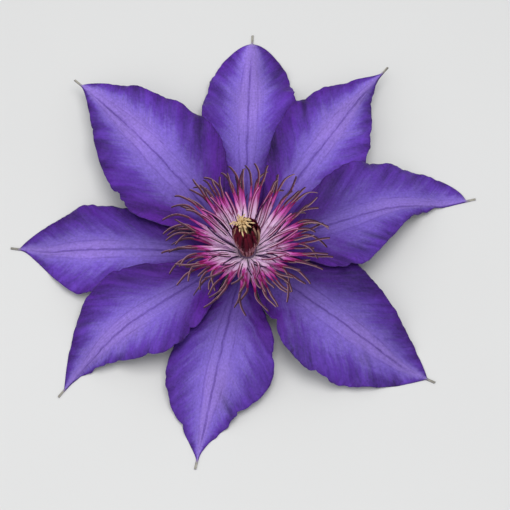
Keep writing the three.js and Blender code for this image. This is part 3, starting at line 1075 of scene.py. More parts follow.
@dataclass(frozen=True)
class Side:
    """One side of a tepal.

    Attributes:
        width: Half width at the widest place, in millimetres.
        peak: Share of the length where it is widest.
        fall: Power of the fall to the tip, under 1 full and over 1 hollow.
        rise: Power of the rise from the root, under 1 broad and over 1 narrow.
        lie: Whether it lies over or under its neighbour.
        ruffle: How deep its scallops are.
        painted_tones: Painted light and shade: how light it is in its inner part, half way and at its
            tip.
        pales: How much wider its pale zones are, as shares across, in its inner and outer parts.
        even: How far its colours are drawn towards the one between bar and margin, 0 to 1.
        notches: Share of the length, depth and half length in millimetres of single notches.
        painted_folds: Share of the length, share across, darkness and half width in millimetres of
        single soft creases, which are painted shade in the colour only.
        mid_zone: Zone number of the colour between bar and margin.
        blade_end: Share of the length where the blade gives way to the tail.
        claw: Half width of the claw at the root.
        claw_share: Share of the length over which the claw fades into the blade.
        tail: Half width of the tail.
    """

    width: float
    peak: float
    fall: float
    rise: float
    lie: Lie
    ruffle: float = 1.0
    painted_tones: tuple[float, float, float] = (1.0, 1.0, 1.0)
    pales: tuple[float, float] = (0.0, 0.0)
    even: float = 0.0
    notches: tuple[tuple[float, float, float], ...] = ()
    painted_folds: tuple[tuple[float, float, float, float], ...] = ()

    mid_zone: float = 0.5
    blade_end: float = 0.96
    claw: float = 1.45
    claw_share: float = 0.25
    tail: float = 0.4

    def half_width(self, s: Array) -> Array:
        """Half the width: a sine rise to the peak and a cosine fall, each to its own power, with
        the claw and the tail added by root-sum-square.

        Args:
            s: Shares of the length.

        Returns:
            Half widths in millimetres.
        """
        rising = np.sin(math.pi / 2 * np.clip(s / self.peak, 0, 1)) ** self.rise
        turn = math.pi / 2 * np.clip((s - self.peak) / (self.blade_end - self.peak), 0, 1)
        falling = np.maximum(np.cos(turn), 0) ** self.fall
        claw = self.claw * np.clip(1 - s / self.claw_share, 0, 1)
        blade = self.width * np.where(s < self.peak, rising, falling)
        return np.sqrt(blade**2 + claw**2 + self.tail**2)

    def tone(self, s: Array) -> Array:
        """Painted light and shade on the side: how light it is, passing from each of its three
        values to the next by smooth steps.

        Args:
            s: Shares of the length.

        Returns:
            A share to multiply the colour by.
        """
        inner, middle, tip = self.painted_tones
        outward = middle + (inner - middle) * (1 - smoothstep(0.4, 0.64, s))
        return outward + (tip - middle) * smoothstep(0.66, 0.86, s)

    def zone(self, s: Array, v: Array) -> Array:
        """Number of the colour zone: the share across, less `pales`, drawn together by `even`.

        Args:
            s: Shares of the length.
            v: Shares across.

        Returns:
            About 0 at the midrib and 1 at the margin.
        """
        inner, outer = self.pales
        pale = outer + (inner - outer) * (1 - smoothstep(0.38, 0.66, s))
        return self.mid_zone + (np.abs(v) - pale - self.mid_zone) * (1 - self.even)

    def notched(self, along: Array, length: float) -> Array:
        """How far the margin stands in: a cusp, e to the less of the distance, at each notch.

        Args:
            along: Distances from the root, in millimetres.
            length: Length of the tepal, in millimetres.

        Returns:
            Depths in millimetres.
        """
        depth = np.zeros_like(along)
        for share, deep, reach in self.notches:
            depth += deep * np.exp(-np.abs(along - share * length) / reach)
        return depth

    def painted_fold_light(self, along: Array, across: Array, length: float) -> Array:
        """Painted light and shade of soft creases: each follows a side vein, a dark bell with a
        fainter light one beyond it.

        Args:
            along: Distances from the root, in millimetres.
            across: Distances from the midrib, in millimetres.
            length: Length of the tepal, in millimetres.

        Returns:
            A share to multiply the tone by.
        """
        light = np.ones_like(along)
        for share, out, dark, width in self.painted_folds:
            aside = np.abs(across) - out * self.half_width(np.array(share))
            rank = (along - share * length - VEIN_SLOPE * aside) / width
            light -= dark * (bell(rank) - 0.35 * bell(rank - 2)) * bell(aside / (2.4 * width))
        return light


@dataclass(frozen=True)
class Tepal:
    """One pointed tepal as a surface of s, root to tip, and v, right margin to left margin.

    Attributes:
        node: The node it stands for.
        azimuth: Where it points, in degrees.
        length: Distance of its tip from the axis, in millimetres.
        bend: How far its tip lies to the left of the azimuth.
        level: Its layer at the root, 0 the lowest.
        shoulder: Distance from the axis where it starts to droop.
        tip: Height of its tip, or 0 where it comes to lie on the surface.
        phase: Start of its waves.
        left: Its side counterclockwise of the azimuth.
        right: Its other side.
        bend_start: Share of the length where the bend starts.
        root_radius: Distance of the root from the axis.
        root_height: Height of the lowest layer's root.
        level_step: Height of a layer.
        crown_rise: How far the crown rises over the root.
        crown: Distances from the axis where the crown starts and ends.
        droop_power: Power of the droop past the shoulder.
        landing: Length of the part that lies on the surface.
        softness: Height under which it eases on to the surface.
        wave: Depth of the margin's waves.
        wave_length: Length of the margin's waves.
        overlap: Distances from the axis over which the overlap starts, and over which it ends.
        lift: How far an overlapping margin stands off its neighbour.
        scallops: Lengths of the large and the small scallops.
        thickness: Thickness of the blade.
        rows: Points along the blade.
        columns: Points across it.
    """

    node: str
    azimuth: float
    length: float
    bend: float
    level: int
    shoulder: float
    tip: float
    phase: float
    left: Side
    right: Side

    bend_start: float = 0.35
    root_radius: float = 3.9
    root_height: float = 7.0
    level_step: float = 1.1
    crown_rise: float = 1.8
    crown: tuple[float, float] = (4.0, 30.0)
    droop_power: float = 1.7
    landing: float = 13.0
    softness: float = 2.2
    wave: float = 1.3
    wave_length: float = 11.5
    overlap: tuple[float, float, float, float] = (12.0, 20.0, 48.0, 60.0)
    lift: float = 0.55
    scallops: tuple[float, float] = (9.4, 3.3)
    thickness: float = 0.45
    rows: int = 176
    columns: int = 84

    def underside(self, radius: Array) -> Array:
        """Height of the plain blade: a sine crown, less a power of the way past the shoulder.

        Args:
            radius: Distances from the axis, in millimetres.

        Returns:
            Heights in millimetres, which may lie under the surface.
        """
        start = self.root_height + self.level_step * self.level
        low, high = self.crown
        crown = self.crown_rise * np.sin(math.pi / 2 * np.clip((radius - low) / (high - low), 0, 1))
        end = self.length - (0 if self.tip > 0 else self.landing)
        way = np.maximum((radius - self.shoulder) / (end - self.shoulder), 0)
        return start + crown - (start + self.crown_rise - self.tip) * way**self.droop_power

    def landed(self, height: Array) -> Array:
        """Keeps heights over the surface: near it, the square of the height plus the softness,
        over four times the softness.

        Args:
            height: Heights in millimetres.

        Returns:
            The same heights, none of them under 0.
        """
        soft = (height + self.softness) ** 2 / (4 * self.softness)
        eased = np.where(height > self.softness, height, soft)
        return np.where(height < -self.softness, 0.0, eased)

    def margin_rise(self, radius: Array, s: Array, v: Array) -> Array:
        """Waves that grow with the square of v. Inside the overlap an upper margin only lifts
        and a lower one only dips; further out it waves both ways.

        Args:
            radius: Distances from the axis, in millimetres.
            s: Shares of the length.
            v: Shares across.

        Returns:
            Heights over the plain blade, in millimetres.
        """
        tuck = sided(v, self.left.lie.value, self.right.lie.value)
        outside = smoothstep(*self.overlap[2:], radius)
        inside = smoothstep(*self.overlap[:2], radius) * (1 - outside)
        free = outside * (1 - smoothstep(0.8, 0.93, s))
        phase = self.phase + sided(v, 0, 2.3)
        wave = np.sin(FULL_TURN * radius / self.wave_length + phase)
        swell = np.sin(FULL_TURN * radius / (2.3 * self.wave_length) + 2 * phase)
        held = tuck * (self.lift + self.wave * (0.5 + 0.35 * wave + 0.15 * swell))
        return v * v * (inside * held + free * self.wave * (0.8 * wave + 0.5 * swell))

    def fringe(self, along: Array, s: Array, v: Array) -> Array:
        """How far the margin stands out: two absolute sines whose cusps are shallow notches, a
        large one and a small one, less the side's single notches.

        Both sines drift in length, and swell and fade along the blade. Each has its mean, 0.64,
        taken off, so the scallops leave the blade as wide as it was.

        Args:
            along: Distances from the axis, along the azimuth, in millimetres.
            s: Shares of the length.
            v: Shares across.

        Returns:
            Distances in millimetres.
        """
        phase = self.phase * 3 + sided(v, 0, 1.7)
        ruffle = sided(v, self.left.ruffle, self.right.ruffle)
        long, short = self.scallops
        drift = 1.9 * np.sin(along / 6.7 + phase) + 0.8 * np.sin(along / 3.9 - phase)
        large = np.abs(np.sin(math.pi * along / long + phase + drift)) - 0.64
        small = np.abs(np.sin(math.pi * along / short + 2 * phase + 1.3 * drift)) - 0.64
        amount = 0.3 + 0.7 * np.sin(along / 8.3 + 2 * phase) ** 2
        held = smoothstep(0.14, 0.34, s) * (1 - smoothstep(0.82, 0.93, s))
        place = along - self.root_radius, self.length - self.root_radius
        notch = sided(v, self.left.notched(*place), self.right.notched(*place))
        return held * ruffle * amount * (0.85 * large + 0.3 * small) - notch

    def relief(self, along: Array, left: Array, s: Array, v: Array) -> Array:
        """Relief of the upper face, as bells and sines: a grooved midrib between raised sides,
        grooved side ribs, puckers along the side veins, and a crimped margin.

        Args:
            along: Distances from the axis, along the azimuth, in millimetres.
            left: Distances to the left of the midrib, in millimetres.
            s: Shares of the length.
            v: Shares across.

        Returns:
            Heights over the plain blade, in millimetres.
        """
        held = smoothstep(0.03, 0.14, s) * (1 - smoothstep(0.8, 0.93, s))
        share = np.abs(v)
        half = np.abs(left) / np.maximum(share, 0.01)
        groove = -0.26 * bell(left / 0.4)
        bar = 0.16 * bell((share - 0.1) / 0.07)
        side_groove = -0.1 * bell((share - 0.2) * half / 0.5)
        shoulder = 0.1 * bell((share - 0.3) / 0.08)
        rank = along - VEIN_SLOPE * np.abs(left)
        swing = 2.2 * np.sin(along / 5.3 + self.phase) + 1.6 * np.sin(left / 2.9 + along / 9)
        pucker = 0.07 * np.sin(FULL_TURN * rank / 4.7 + self.phase + swing)
        pucker = pucker + 0.06 * np.sin(FULL_TURN * rank / 2.9 - 1.7 * swing)
        crimp = 0.2 * np.sin(FULL_TURN * along / 4.4 + self.phase + swing)
        crimp = crimp + 0.1 * np.sin(FULL_TURN * along / 2.3 - 1.4 * swing)
        outer = smoothstep(0.25, 0.7, share)
        return held * (groove + bar + side_groove + shoulder + outer * pucker + share**6 * crimp)

    def ribs(self, left: Array, s: Array, v: Array) -> Array:
        """Relief of the lower face: a bell for each of the three ribs.

        Args:
            left: Distances to the left of the midrib, in millimetres.
            s: Shares of the length.
            v: Shares across.

        Returns:
            How far the ribs stand out, in millimetres.
        """
        held = smoothstep(0.02, 0.12, s) * (1 - smoothstep(0.7, 0.9, s))
        half = np.abs(left) / np.maximum(np.abs(v), 0.01)
        side = 0.2 * bell((np.abs(v) - 0.24) * half / 0.6)
        return held * (0.3 * bell(left / 0.6) + side)

    def marks(self, along: Array, across: Array, edge: Array, s: Array, v: Array) -> dict[str, Array]:
        """The marks that the finish reads, for the upper face and then for the lower one.

        Args:
            along: Distances from the axis, along the azimuth, in millimetres.
            across: Distances to the left of the midrib, in millimetres.
            edge: Distances from the margin, in millimetres.
            s: Shares of the length.
            v: Shares across.

        Returns:
            "place" with across, along and edge, "share" with v, s and 1 on the lower face, and
            "tone" with the painted light and shade, the tepal's seed and the zone number. The painted
            light and shade and the zone pass from one side's to the other's by a smooth step over the
            midrib.
        """
        turned = smoothstep(-0.4, 0.4, v)
        reach = along - self.root_radius, across, self.length - self.root_radius
        # Painted light and shade of each side, darkened by the painted shade of its creases.
        right = self.right.tone(s) * self.right.painted_fold_light(*reach)
        tone = right + (self.left.tone(s) * self.left.painted_fold_light(*reach) - right) * turned
        zone = self.right.zone(s, v) * (1 - turned) + self.left.zone(s, v) * turned
        above, below = np.zeros_like(s), np.ones_like(s)
        seed = np.full_like(s, self.phase * 5)
        faces = {
            "place": [(across, along, edge), (across, along, edge)],
            "share": [(v, s, above), (v, s, below)],
            "tone": [(tone, seed, zone), (tone, seed, zone)],
        }
        return {
            name: np.concatenate([np.stack(face, axis=-1).reshape(-1, 3) for face in pair])
            for name, pair in faces.items()
        }

    def surface(self) -> Surface:
        """The blade as one closed surface: the upper face, the lower face and a rim.

        Columns crowd towards the midrib by 0.6 t + 0.4 t^3. The thickness falls towards the
        margin by the sixth power of v.

        Returns:
            The surface, with the marks that the finish reads.
        """
        t = np.linspace(-1, 1, self.columns)
        s, v = np.meshgrid(np.linspace(0, 1, self.rows), 0.6 * t + 0.4 * t**3, indexing="ij")
        along = self.root_radius + (self.length - self.root_radius) * s
        centre = self.bend * np.clip((s - self.bend_start) / (1 - self.bend_start), 0, 1) ** 2
        half = sided(v, self.left.half_width(s), self.right.half_width(s))
        across = v * (half + self.fringe(along, s, v) * smoothstep(0.45, 1.0, np.abs(v)))
        left = centre + across
        radius = np.hypot(along, left)
        base = self.underside(radius) + self.margin_rise(radius, s, v)
        base = base if self.tip > 0 else self.landed(base)
        relief = self.relief(along, across, s, v)
        lower = np.maximum(base - self.ribs(across, s, v) + np.minimum(0.5 * relief, 0.1), 0)
        upper = np.maximum(base + relief, lower - 0.2) + self.thickness * (1 - 0.5 * np.abs(v) ** 6)
        azimuth = math.radians(self.azimuth)
        sheets = [polar(azimuth, along, left, height).reshape(-1, 3) for height in (upper, lower)]
        numbers = np.arange(self.rows * self.columns).reshape(self.rows, self.columns)
        loop = np.concatenate(
            [numbers[0, :-1], numbers[:-1, -1], numbers[-1, :0:-1], numbers[:0:-1, 0]]
        )
        following = np.roll(loop, -1)
        rim = np.stack([loop, following, following + numbers.size, loop + numbers.size], axis=1)
        quads = grid_quads(self.rows, self.columns)
        return Surface(
            np.concatenate(sheets),
            [quads[:, ::-1], quads + numbers.size, rim],
            self.marks(along, across, half - np.abs(across), s, v),
        )


OVER, UNDER = Lie.OVER, Lie.UNDER
# Painted light and shade: each side's three lightness values, and the darkness of its soft creases,
# which is painted shade only.
TEPALS = (
    Tepal(
        node="tepal_1", azimuth=89.1, length=92, bend=-1.1, level=0, shoulder=38, tip=0, phase=0.4,
        left=Side(
            width=16.5, peak=0.62, fall=0.57, rise=0.95, lie=UNDER, ruffle=0.6,
            painted_tones=(1.06, 0.96, 1.2), pales=(0.04, 0.1), even=0.15, notches=((0.71, 0.8, 2.5),),
        ),
        right=Side(
            width=16.8, peak=0.62, fall=0.55, rise=1.0, lie=UNDER, ruffle=0.8,
            painted_tones=(0.89, 1.12, 0.88), pales=(-0.06, 0.04), painted_folds=((0.825, 0.8, 0.25, 1.6),),
        ),
    ),
    Tepal(
        node="tepal_2", azimuth=129.3, length=93, bend=2.9, level=2, shoulder=42, tip=6, phase=2.1,
        left=Side(
            width=21.4, peak=0.4, fall=1.2, rise=1.55, lie=OVER, ruffle=0.9,
            painted_tones=(1.02, 0.89, 0.95), pales=(0.03, 0.05),
            notches=((0.455, 1.6, 1.6),), painted_folds=((0.695, 0.84, 0.3, 1.2), (0.45, 0.78, 0.25, 1.5)),
        ),
        right=Side(
            width=21.9, peak=0.47, fall=0.72, rise=1.55, lie=OVER, ruffle=0.7,
            painted_tones=(0.92, 1.06, 1.12), pales=(-0.03, 0.08), painted_folds=((0.49, 0.82, 0.35, 2.0),),
        ),
    ),
    Tepal(
        node="tepal_3", azimuth=177.2, length=82, bend=-2.4, level=0, shoulder=36, tip=0, phase=3.9,
        left=Side(
            width=16.0, peak=0.64, fall=1.5, rise=1.0, lie=UNDER, ruffle=1.0,
            painted_tones=(1.0, 1.02, 0.92), pales=(0.02, 0.12), even=0.3,
        ),
        right=Side(
            width=17.8, peak=0.61, fall=0.82, rise=1.0, lie=UNDER, ruffle=0.6,
            painted_tones=(0.68, 0.86, 0.82), pales=(-0.1, 0.0), even=0.1,
            notches=((0.51, 0.9, 1.5),), painted_folds=((0.49, 0.62, 0.25, 1.4),),
        ),
    ),
    Tepal(
        node="tepal_4", azimuth=214.2, length=80, bend=5.3, level=2, shoulder=40, tip=0, phase=5.2,
        bend_start=0.6,
        left=Side(
            width=16.4, peak=0.45, fall=2.2, rise=1.3, lie=OVER, ruffle=0.8,
            painted_tones=(1.05, 0.93, 0.8), pales=(0.06, 0.2), even=0.3,
            notches=((0.36, 2.2, 1.6), (0.465, 1.2, 1.2), (0.58, 1.1, 1.0), (0.695, 1.6, 2.2)),
        ),
        right=Side(
            width=19.0, peak=0.55, fall=0.95, rise=1.55, lie=OVER, ruffle=0.7,
            painted_tones=(0.88, 0.93, 0.85), pales=(-0.08, 0.04),
            painted_folds=(
                (0.375, 0.9, 0.35, 1.8), (0.48, 0.8, 0.38, 1.2),
                (0.6, 0.86, 0.25, 1.0), (0.72, 0.72, 0.3, 1.2),
            ),
        ),
    ),
    Tepal(
        node="tepal_5", azimuth=257.4, length=77, bend=0.2, level=0, shoulder=30, tip=0, phase=1.2,
        left=Side(
            width=18.8, peak=0.5, fall=1.75, rise=1.05, lie=UNDER, ruffle=1.0,
            painted_tones=(0.98, 0.86, 1.04), pales=(0.14, 0.12), even=0.3,
            notches=((0.4, 0.8, 1.6), (0.702, 2.6, 2.2)), painted_folds=((0.7, 0.56, 0.45, 1.3),),
        ),
        right=Side(
            width=17.1, peak=0.56, fall=1.2, rise=1.05, lie=UNDER, ruffle=0.7,
            painted_tones=(0.86, 0.94, 0.98), pales=(0.06, 0.08), even=0.25,
            notches=((0.805, 1.5, 1.4),), painted_folds=((0.35, 0.86, 0.35, 1.6), (0.695, 0.72, 0.3, 1.2)),
        ),
    ),
    Tepal(
        node="tepal_6", azimuth=321.6, length=78, bend=5.6, level=1, shoulder=36, tip=0, phase=2.9,
        left=Side(
            width=21.5, peak=0.32, fall=0.85, rise=1.2, lie=UNDER, ruffle=0.6,
            painted_tones=(0.64, 0.7, 0.74), pales=(-0.05, 0.03), even=0.15,
        ),
        right=Side(
            width=20.7, peak=0.52, fall=0.92, rise=0.8, lie=OVER, ruffle=1.1,
            painted_tones=(0.95, 0.86, 0.84), pales=(0.16, 0.07), even=0.45,
            notches=((0.275, 3.2, 2.6), (0.56, 1.0, 1.2), (0.62, 0.8, 0.9)),
            painted_folds=((0.7, 0.3, 0.25, 1.5),),
        ),
    ),
    Tepal(
        node="tepal_7", azimuth=19.2, length=85, bend=-2.6, level=2, shoulder=47, tip=0, phase=4.6,
        left=Side(
            width=20.1, peak=0.54, fall=0.55, rise=1.55, lie=OVER, ruffle=0.8,
            painted_tones=(0.74, 0.95, 0.98), pales=(-0.13, 0.03), even=0.45,
            notches=((0.6, 0.8, 0.9), (0.74, 1.8, 1.5)),
            painted_folds=((0.43, 0.8, 0.3, 2.0), (0.675, 0.56, 0.2, 1.3)),
        ),
        right=Side(
            width=17.9, peak=0.37, fall=3.4, rise=1.55, lie=OVER, ruffle=0.8,
            painted_tones=(0.92, 0.86, 0.96), pales=(0.08, 0.08), even=0.45,
            notches=((0.3, 0.8, 0.9), (0.356, 1.4, 1.2)),
            painted_folds=((0.505, 0.7, 0.5, 1.5), (0.415, 0.68, 0.3, 1.1), (0.33, 0.82, 0.3, 1.2)),
        ),
    ),
    Tepal(
        node="tepal_8", azimuth=57.1, length=91, bend=-2.0, level=1, shoulder=40, tip=6, phase=0.1,
        left=Side(
            width=18.1, peak=0.59, fall=1.1, rise=1.55, lie=OVER, ruffle=0.8,
            painted_tones=(1.01, 0.96, 1.08), pales=(-0.03, 0.04),
            notches=((0.68, 1.0, 2.0),), painted_folds=((0.63, 0.76, 0.42, 1.5), (0.405, 0.9, 0.3, 1.4)),
        ),
        right=Side(
            width=16.8, peak=0.49, fall=1.75, rise=1.1, lie=UNDER, ruffle=0.9,
            painted_tones=(1.1, 1.0, 0.6), pales=(0.04, 0.08), even=0.25, notches=((0.81, 0.9, 1.5),),
        ),
    ),
)


# ------------------------------------------------------------------ stamens


@dataclass(frozen=True)
class Whorl:
    """A ring of spreading stamens, placed evenly with a seeded draw for each.

    Attributes:
        count: Number of stamens.
        first: Number of the first one, for its draws.
        offset: Turn of the ring, as a share of its spacing.
        height: Height of the roots.
        reach: Distance of the tips from the axis.
        rise: Height of the tips over the roots, before they droop.
        droop: How far the tips droop.
        arch: Power of the arch, larger for an earlier rise.
        anther_start: Share of the length where the anther starts.
        filament_width: Width of the filament at its widest.
        anther_width: Width over both pollen sacs.
        root_radius: Distance of the roots from the axis.
        root_width: Width of the filament at its root.
        neck_width: Width of the filament at the anther.
        filament_depth: Depth of the filament.
        anther_depth: Depth of the anther.
        ripe_start: A filament that ends before this share of the length stops at its paler
            colours.
        turn_stray: Largest stray of a stamen's azimuth, as a share of the spacing.
        reach_stray: Largest stray of the reach, as a share of it.
        rise_stray: Largest stray of the rise, as a share of it.
        bow: Largest bow to the side, half way along.
        curl: Largest curl of an anther's tip to the side.
        near_curl: What the largest curl gains on the -Y side.
        droop_stray: Largest stray of the droop.
        near_droop: Share that the droop loses on the -Y side.
        near_reach: Share that the reach loses on the -Y side.
        wiggle: Depth of the anther's small wiggle.
        turned: Largest twist at the tip, in radians.
    """

    count: int
    first: int
    offset: float
    height: float
    reach: float
    rise: float
    droop: float
    arch: float
    anther_start: float = 0.65
    filament_width: float = 1.75
    anther_width: float = 0.82

    root_radius: float = 3.2
    root_width: float = 0.8
    neck_width: float = 0.7
    filament_depth: float = 0.45
    anther_depth: float = 0.55
    ripe_start: float = 0.6
    turn_stray: float = 0.24
    reach_stray: float = 0.07
    rise_stray: float = 0.14
    bow: float = 1.1
    curl: float = 3.2
    near_curl: float = 2.0
    droop_stray: float = 2.2
    near_droop: float = 0.4
    near_reach: float = 0.09
    wiggle: float = 0.16
    turned: float = 0.9

    def turns(self) -> Array:
        """Azimuths: even steps, each with a stray.

        Returns:
            One azimuth for each stamen, in turns.
        """
        order = numbered(self.count, 0)
        shift = self.offset + self.turn_stray * draw(order + self.first, Draw.STAMEN_TURN)
        return (order + shift) / self.count

    def routes(self, t: Array) -> Array:
        """Places along every stamen: out at an even rate, up by one less a power, bowed by a
        half sine, with a curl and a droop by the square of the way along the anther, and a
        small wiggle. Anthers on the -Y side reach and droop less.

        Args:
            t: Shares along the stamen.

        Returns:
            (stamens, shares, 3) places in millimetres.
        """
        number = numbered(self.count, self.first)
        near = np.maximum(0, -np.sin(FULL_TURN * self.turns()))
        reach = self.reach * (1 + self.reach_stray * draw(number, Draw.STAMEN_REACH))
        rise = self.rise * (1 + self.rise_stray * draw(number, Draw.STAMEN_RISE))
        bow = self.bow * draw(number, Draw.STAMEN_BOW)
        curl = (self.curl + self.near_curl * near) * draw(number, Draw.STAMEN_CURL)
        stray = self.droop_stray * draw(number, Draw.STAMEN_DROOP)
        droop = self.droop * (1 - self.near_droop * near) + stray
        end = np.clip((t - self.anther_start) / (1 - self.anther_start), 0, 1)
        held = 1 - self.near_reach * near * end
        out = self.root_radius + (reach - self.root_radius) * t * held
        wave = FULL_TURN * (0.9 * end + draw(number, Draw.STAMEN_WIGGLE))
        wiggle = self.wiggle * np.sin(wave) * np.sin(math.pi * end)
        left = bow * np.sin(math.pi * t) + curl * end * end + wiggle
        lift = rise * (1 - (1 - t) ** self.arch) - droop * end * end
        return centred(polar(FULL_TURN * self.turns(), out, left, self.height + lift))

    def twist(self, t: Array) -> Array:
        """Turn of each stamen about its own route, growing along it by a smooth step."""
        turn = self.turned * draw(numbered(self.count, self.first), Draw.STAMEN_TWIST)
        return turn * smoothstep(0.85 * self.anther_start, 1.0, t)

    def filaments(self) -> Surface:
        """Ribbons that widen from the root and narrow to the neck, both by smooth steps.

        Returns:
            The filaments. A short one ends in its pale colours, so its share along stops early.
        """
        t = np.linspace(0, self.anther_start + 0.04, 25)
        body = self.root_width + (self.filament_width - self.root_width) * smoothstep(0, 0.3, t)
        neck = smoothstep(0.55 * self.anther_start, self.anther_start, t)
        width = body + (self.neck_width - body) * neck
        ribbons = self.ribbons(t, width, self.filament_depth, channelled(10))
        ribbons.marks["strand"][:, 0] *= min(1.0, self.anther_start / self.ripe_start)
        return ribbons

    def anthers(self) -> Surface:
        """Anthers whose width rises from the neck by a smooth step, and falls to the tip by
        the power 1.5 of the way along.

        Returns:
            The anthers.
        """
        t = np.linspace(self.anther_start - 0.02, 1, 27)
        way = (t - t[0]) / (t[-1] - t[0])
        swell = np.minimum(smoothstep(-0.03, 0.12, way), 1.1 - 0.35 * way**1.5)
        return self.ribbons(t, self.anther_width * swell, self.anther_depth, two_lobed(14))

    def ribbons(self, t: Array, width: Array, depth: float, section: Array) -> Surface:
        """The whorl's strands over a stretch of their length.

        Args:
            t: Shares along the stamen, the last one the pointed end.
            width: Full width at each share.
            depth: Full depth where the strand is widest.
            section: Outline of the strand.

        Returns:
            The strands, broad face up, each twisted a little along its way. Their chances are
            lower on the -Y side, which paints light on the anthers there and shade on those
            towards +Y.
        """
        half = np.broadcast_to(width[:-1] / 2, (self.count, len(t) - 1))
        depths = np.maximum(depth / 2 * half / half.max(), 0.16)
        twist = self.twist(t[None, :-1])
        drawn = draw(numbered(self.count, self.first), Draw.STAMEN_CHANCE)
        # Painted light and shade: chances rise towards +Y, so the anthers at -Y are lighter.
        chance = 0.5 + 0.3 * drawn + 0.2 * np.sin(FULL_TURN * self.turns())
        return strands(self.routes(t[None, :]), half, depths, section, UP, twist, chance)


@dataclass(frozen=True)
class StamenRing:
    """The spreading stamens: flat filaments, two-lobed anthers and the collar they root in.

    Attributes:
        node: The node they stand for.
        long: The five whorls of long stamens.
        short: The short stamens, whose anthers lie over the filaments.
        inner: The narrow dark stamens about the foot of the cup, anther nearly to the root.
        collar: Radii and heights of the collar's profile.
        collar_mark: The strand mark that gives the collar a filament's painted shadow.
    """

    node: str = "stamens"
    long: tuple[Whorl, ...] = (
        Whorl(count=25, first=1, offset=0.0, height=10.9, reach=29.0, rise=14.2, droop=6.2, arch=1.5),
        Whorl(count=25, first=26, offset=0.5, height=11.3, reach=27.8, rise=16.0, droop=6.0, arch=1.4),
        Whorl(count=17, first=51, offset=0.25, height=12.1, reach=23.6, rise=16.6, droop=3.4, arch=1.25),
        Whorl(count=19, first=68, offset=0.3, height=11.2, reach=25.6, rise=14.8, droop=4.8, arch=1.45),
        Whorl(count=21, first=191, offset=0.6, height=11.0, reach=24.4, rise=13.6, droop=4.4, arch=1.4),
    )
    short: Whorl = Whorl(
        count=19, first=141, offset=0.7, height=12.0, reach=17.0, rise=15.6, droop=0.5, arch=1.2,
        anther_start=0.3, filament_width=1.5, anther_width=1.05,
    )
    inner: Whorl = Whorl(
        count=15, first=161, offset=0.1, height=12.1, reach=15.0, rise=12.2, droop=0.0, arch=1.1,
        anther_start=0.06, filament_width=0.6, anther_width=0.5,
    )
    collar: tuple[tuple[float, float], ...] = (
        (0.0, 10.5), (4.2, 10.5), (4.5, 11.0), (4.2, 11.5), (3.2, 11.9), (0.0, 12.0),
    )
    collar_mark: tuple[float, float, float] = (0.0, 1.0, 0.2)

    def filaments(self) -> Surface:
        """All the filaments but the inner ones', which are hidden, with the collar.

        Returns:
            The surface.
        """
        collar = revolved(self.collar, 16, 40)
        collar.points = centred(collar.points)
        # The collar takes the painted shadow of the filaments' rims.
        collar.marks["strand"][:] = self.collar_mark
        whorls = *self.long, self.short
        return Surface.joined([*[whorl.filaments() for whorl in whorls], collar])

    def long_anthers(self) -> Surface:
        """The anthers of the long stamens."""
        return Surface.joined([whorl.anthers() for whorl in self.long])


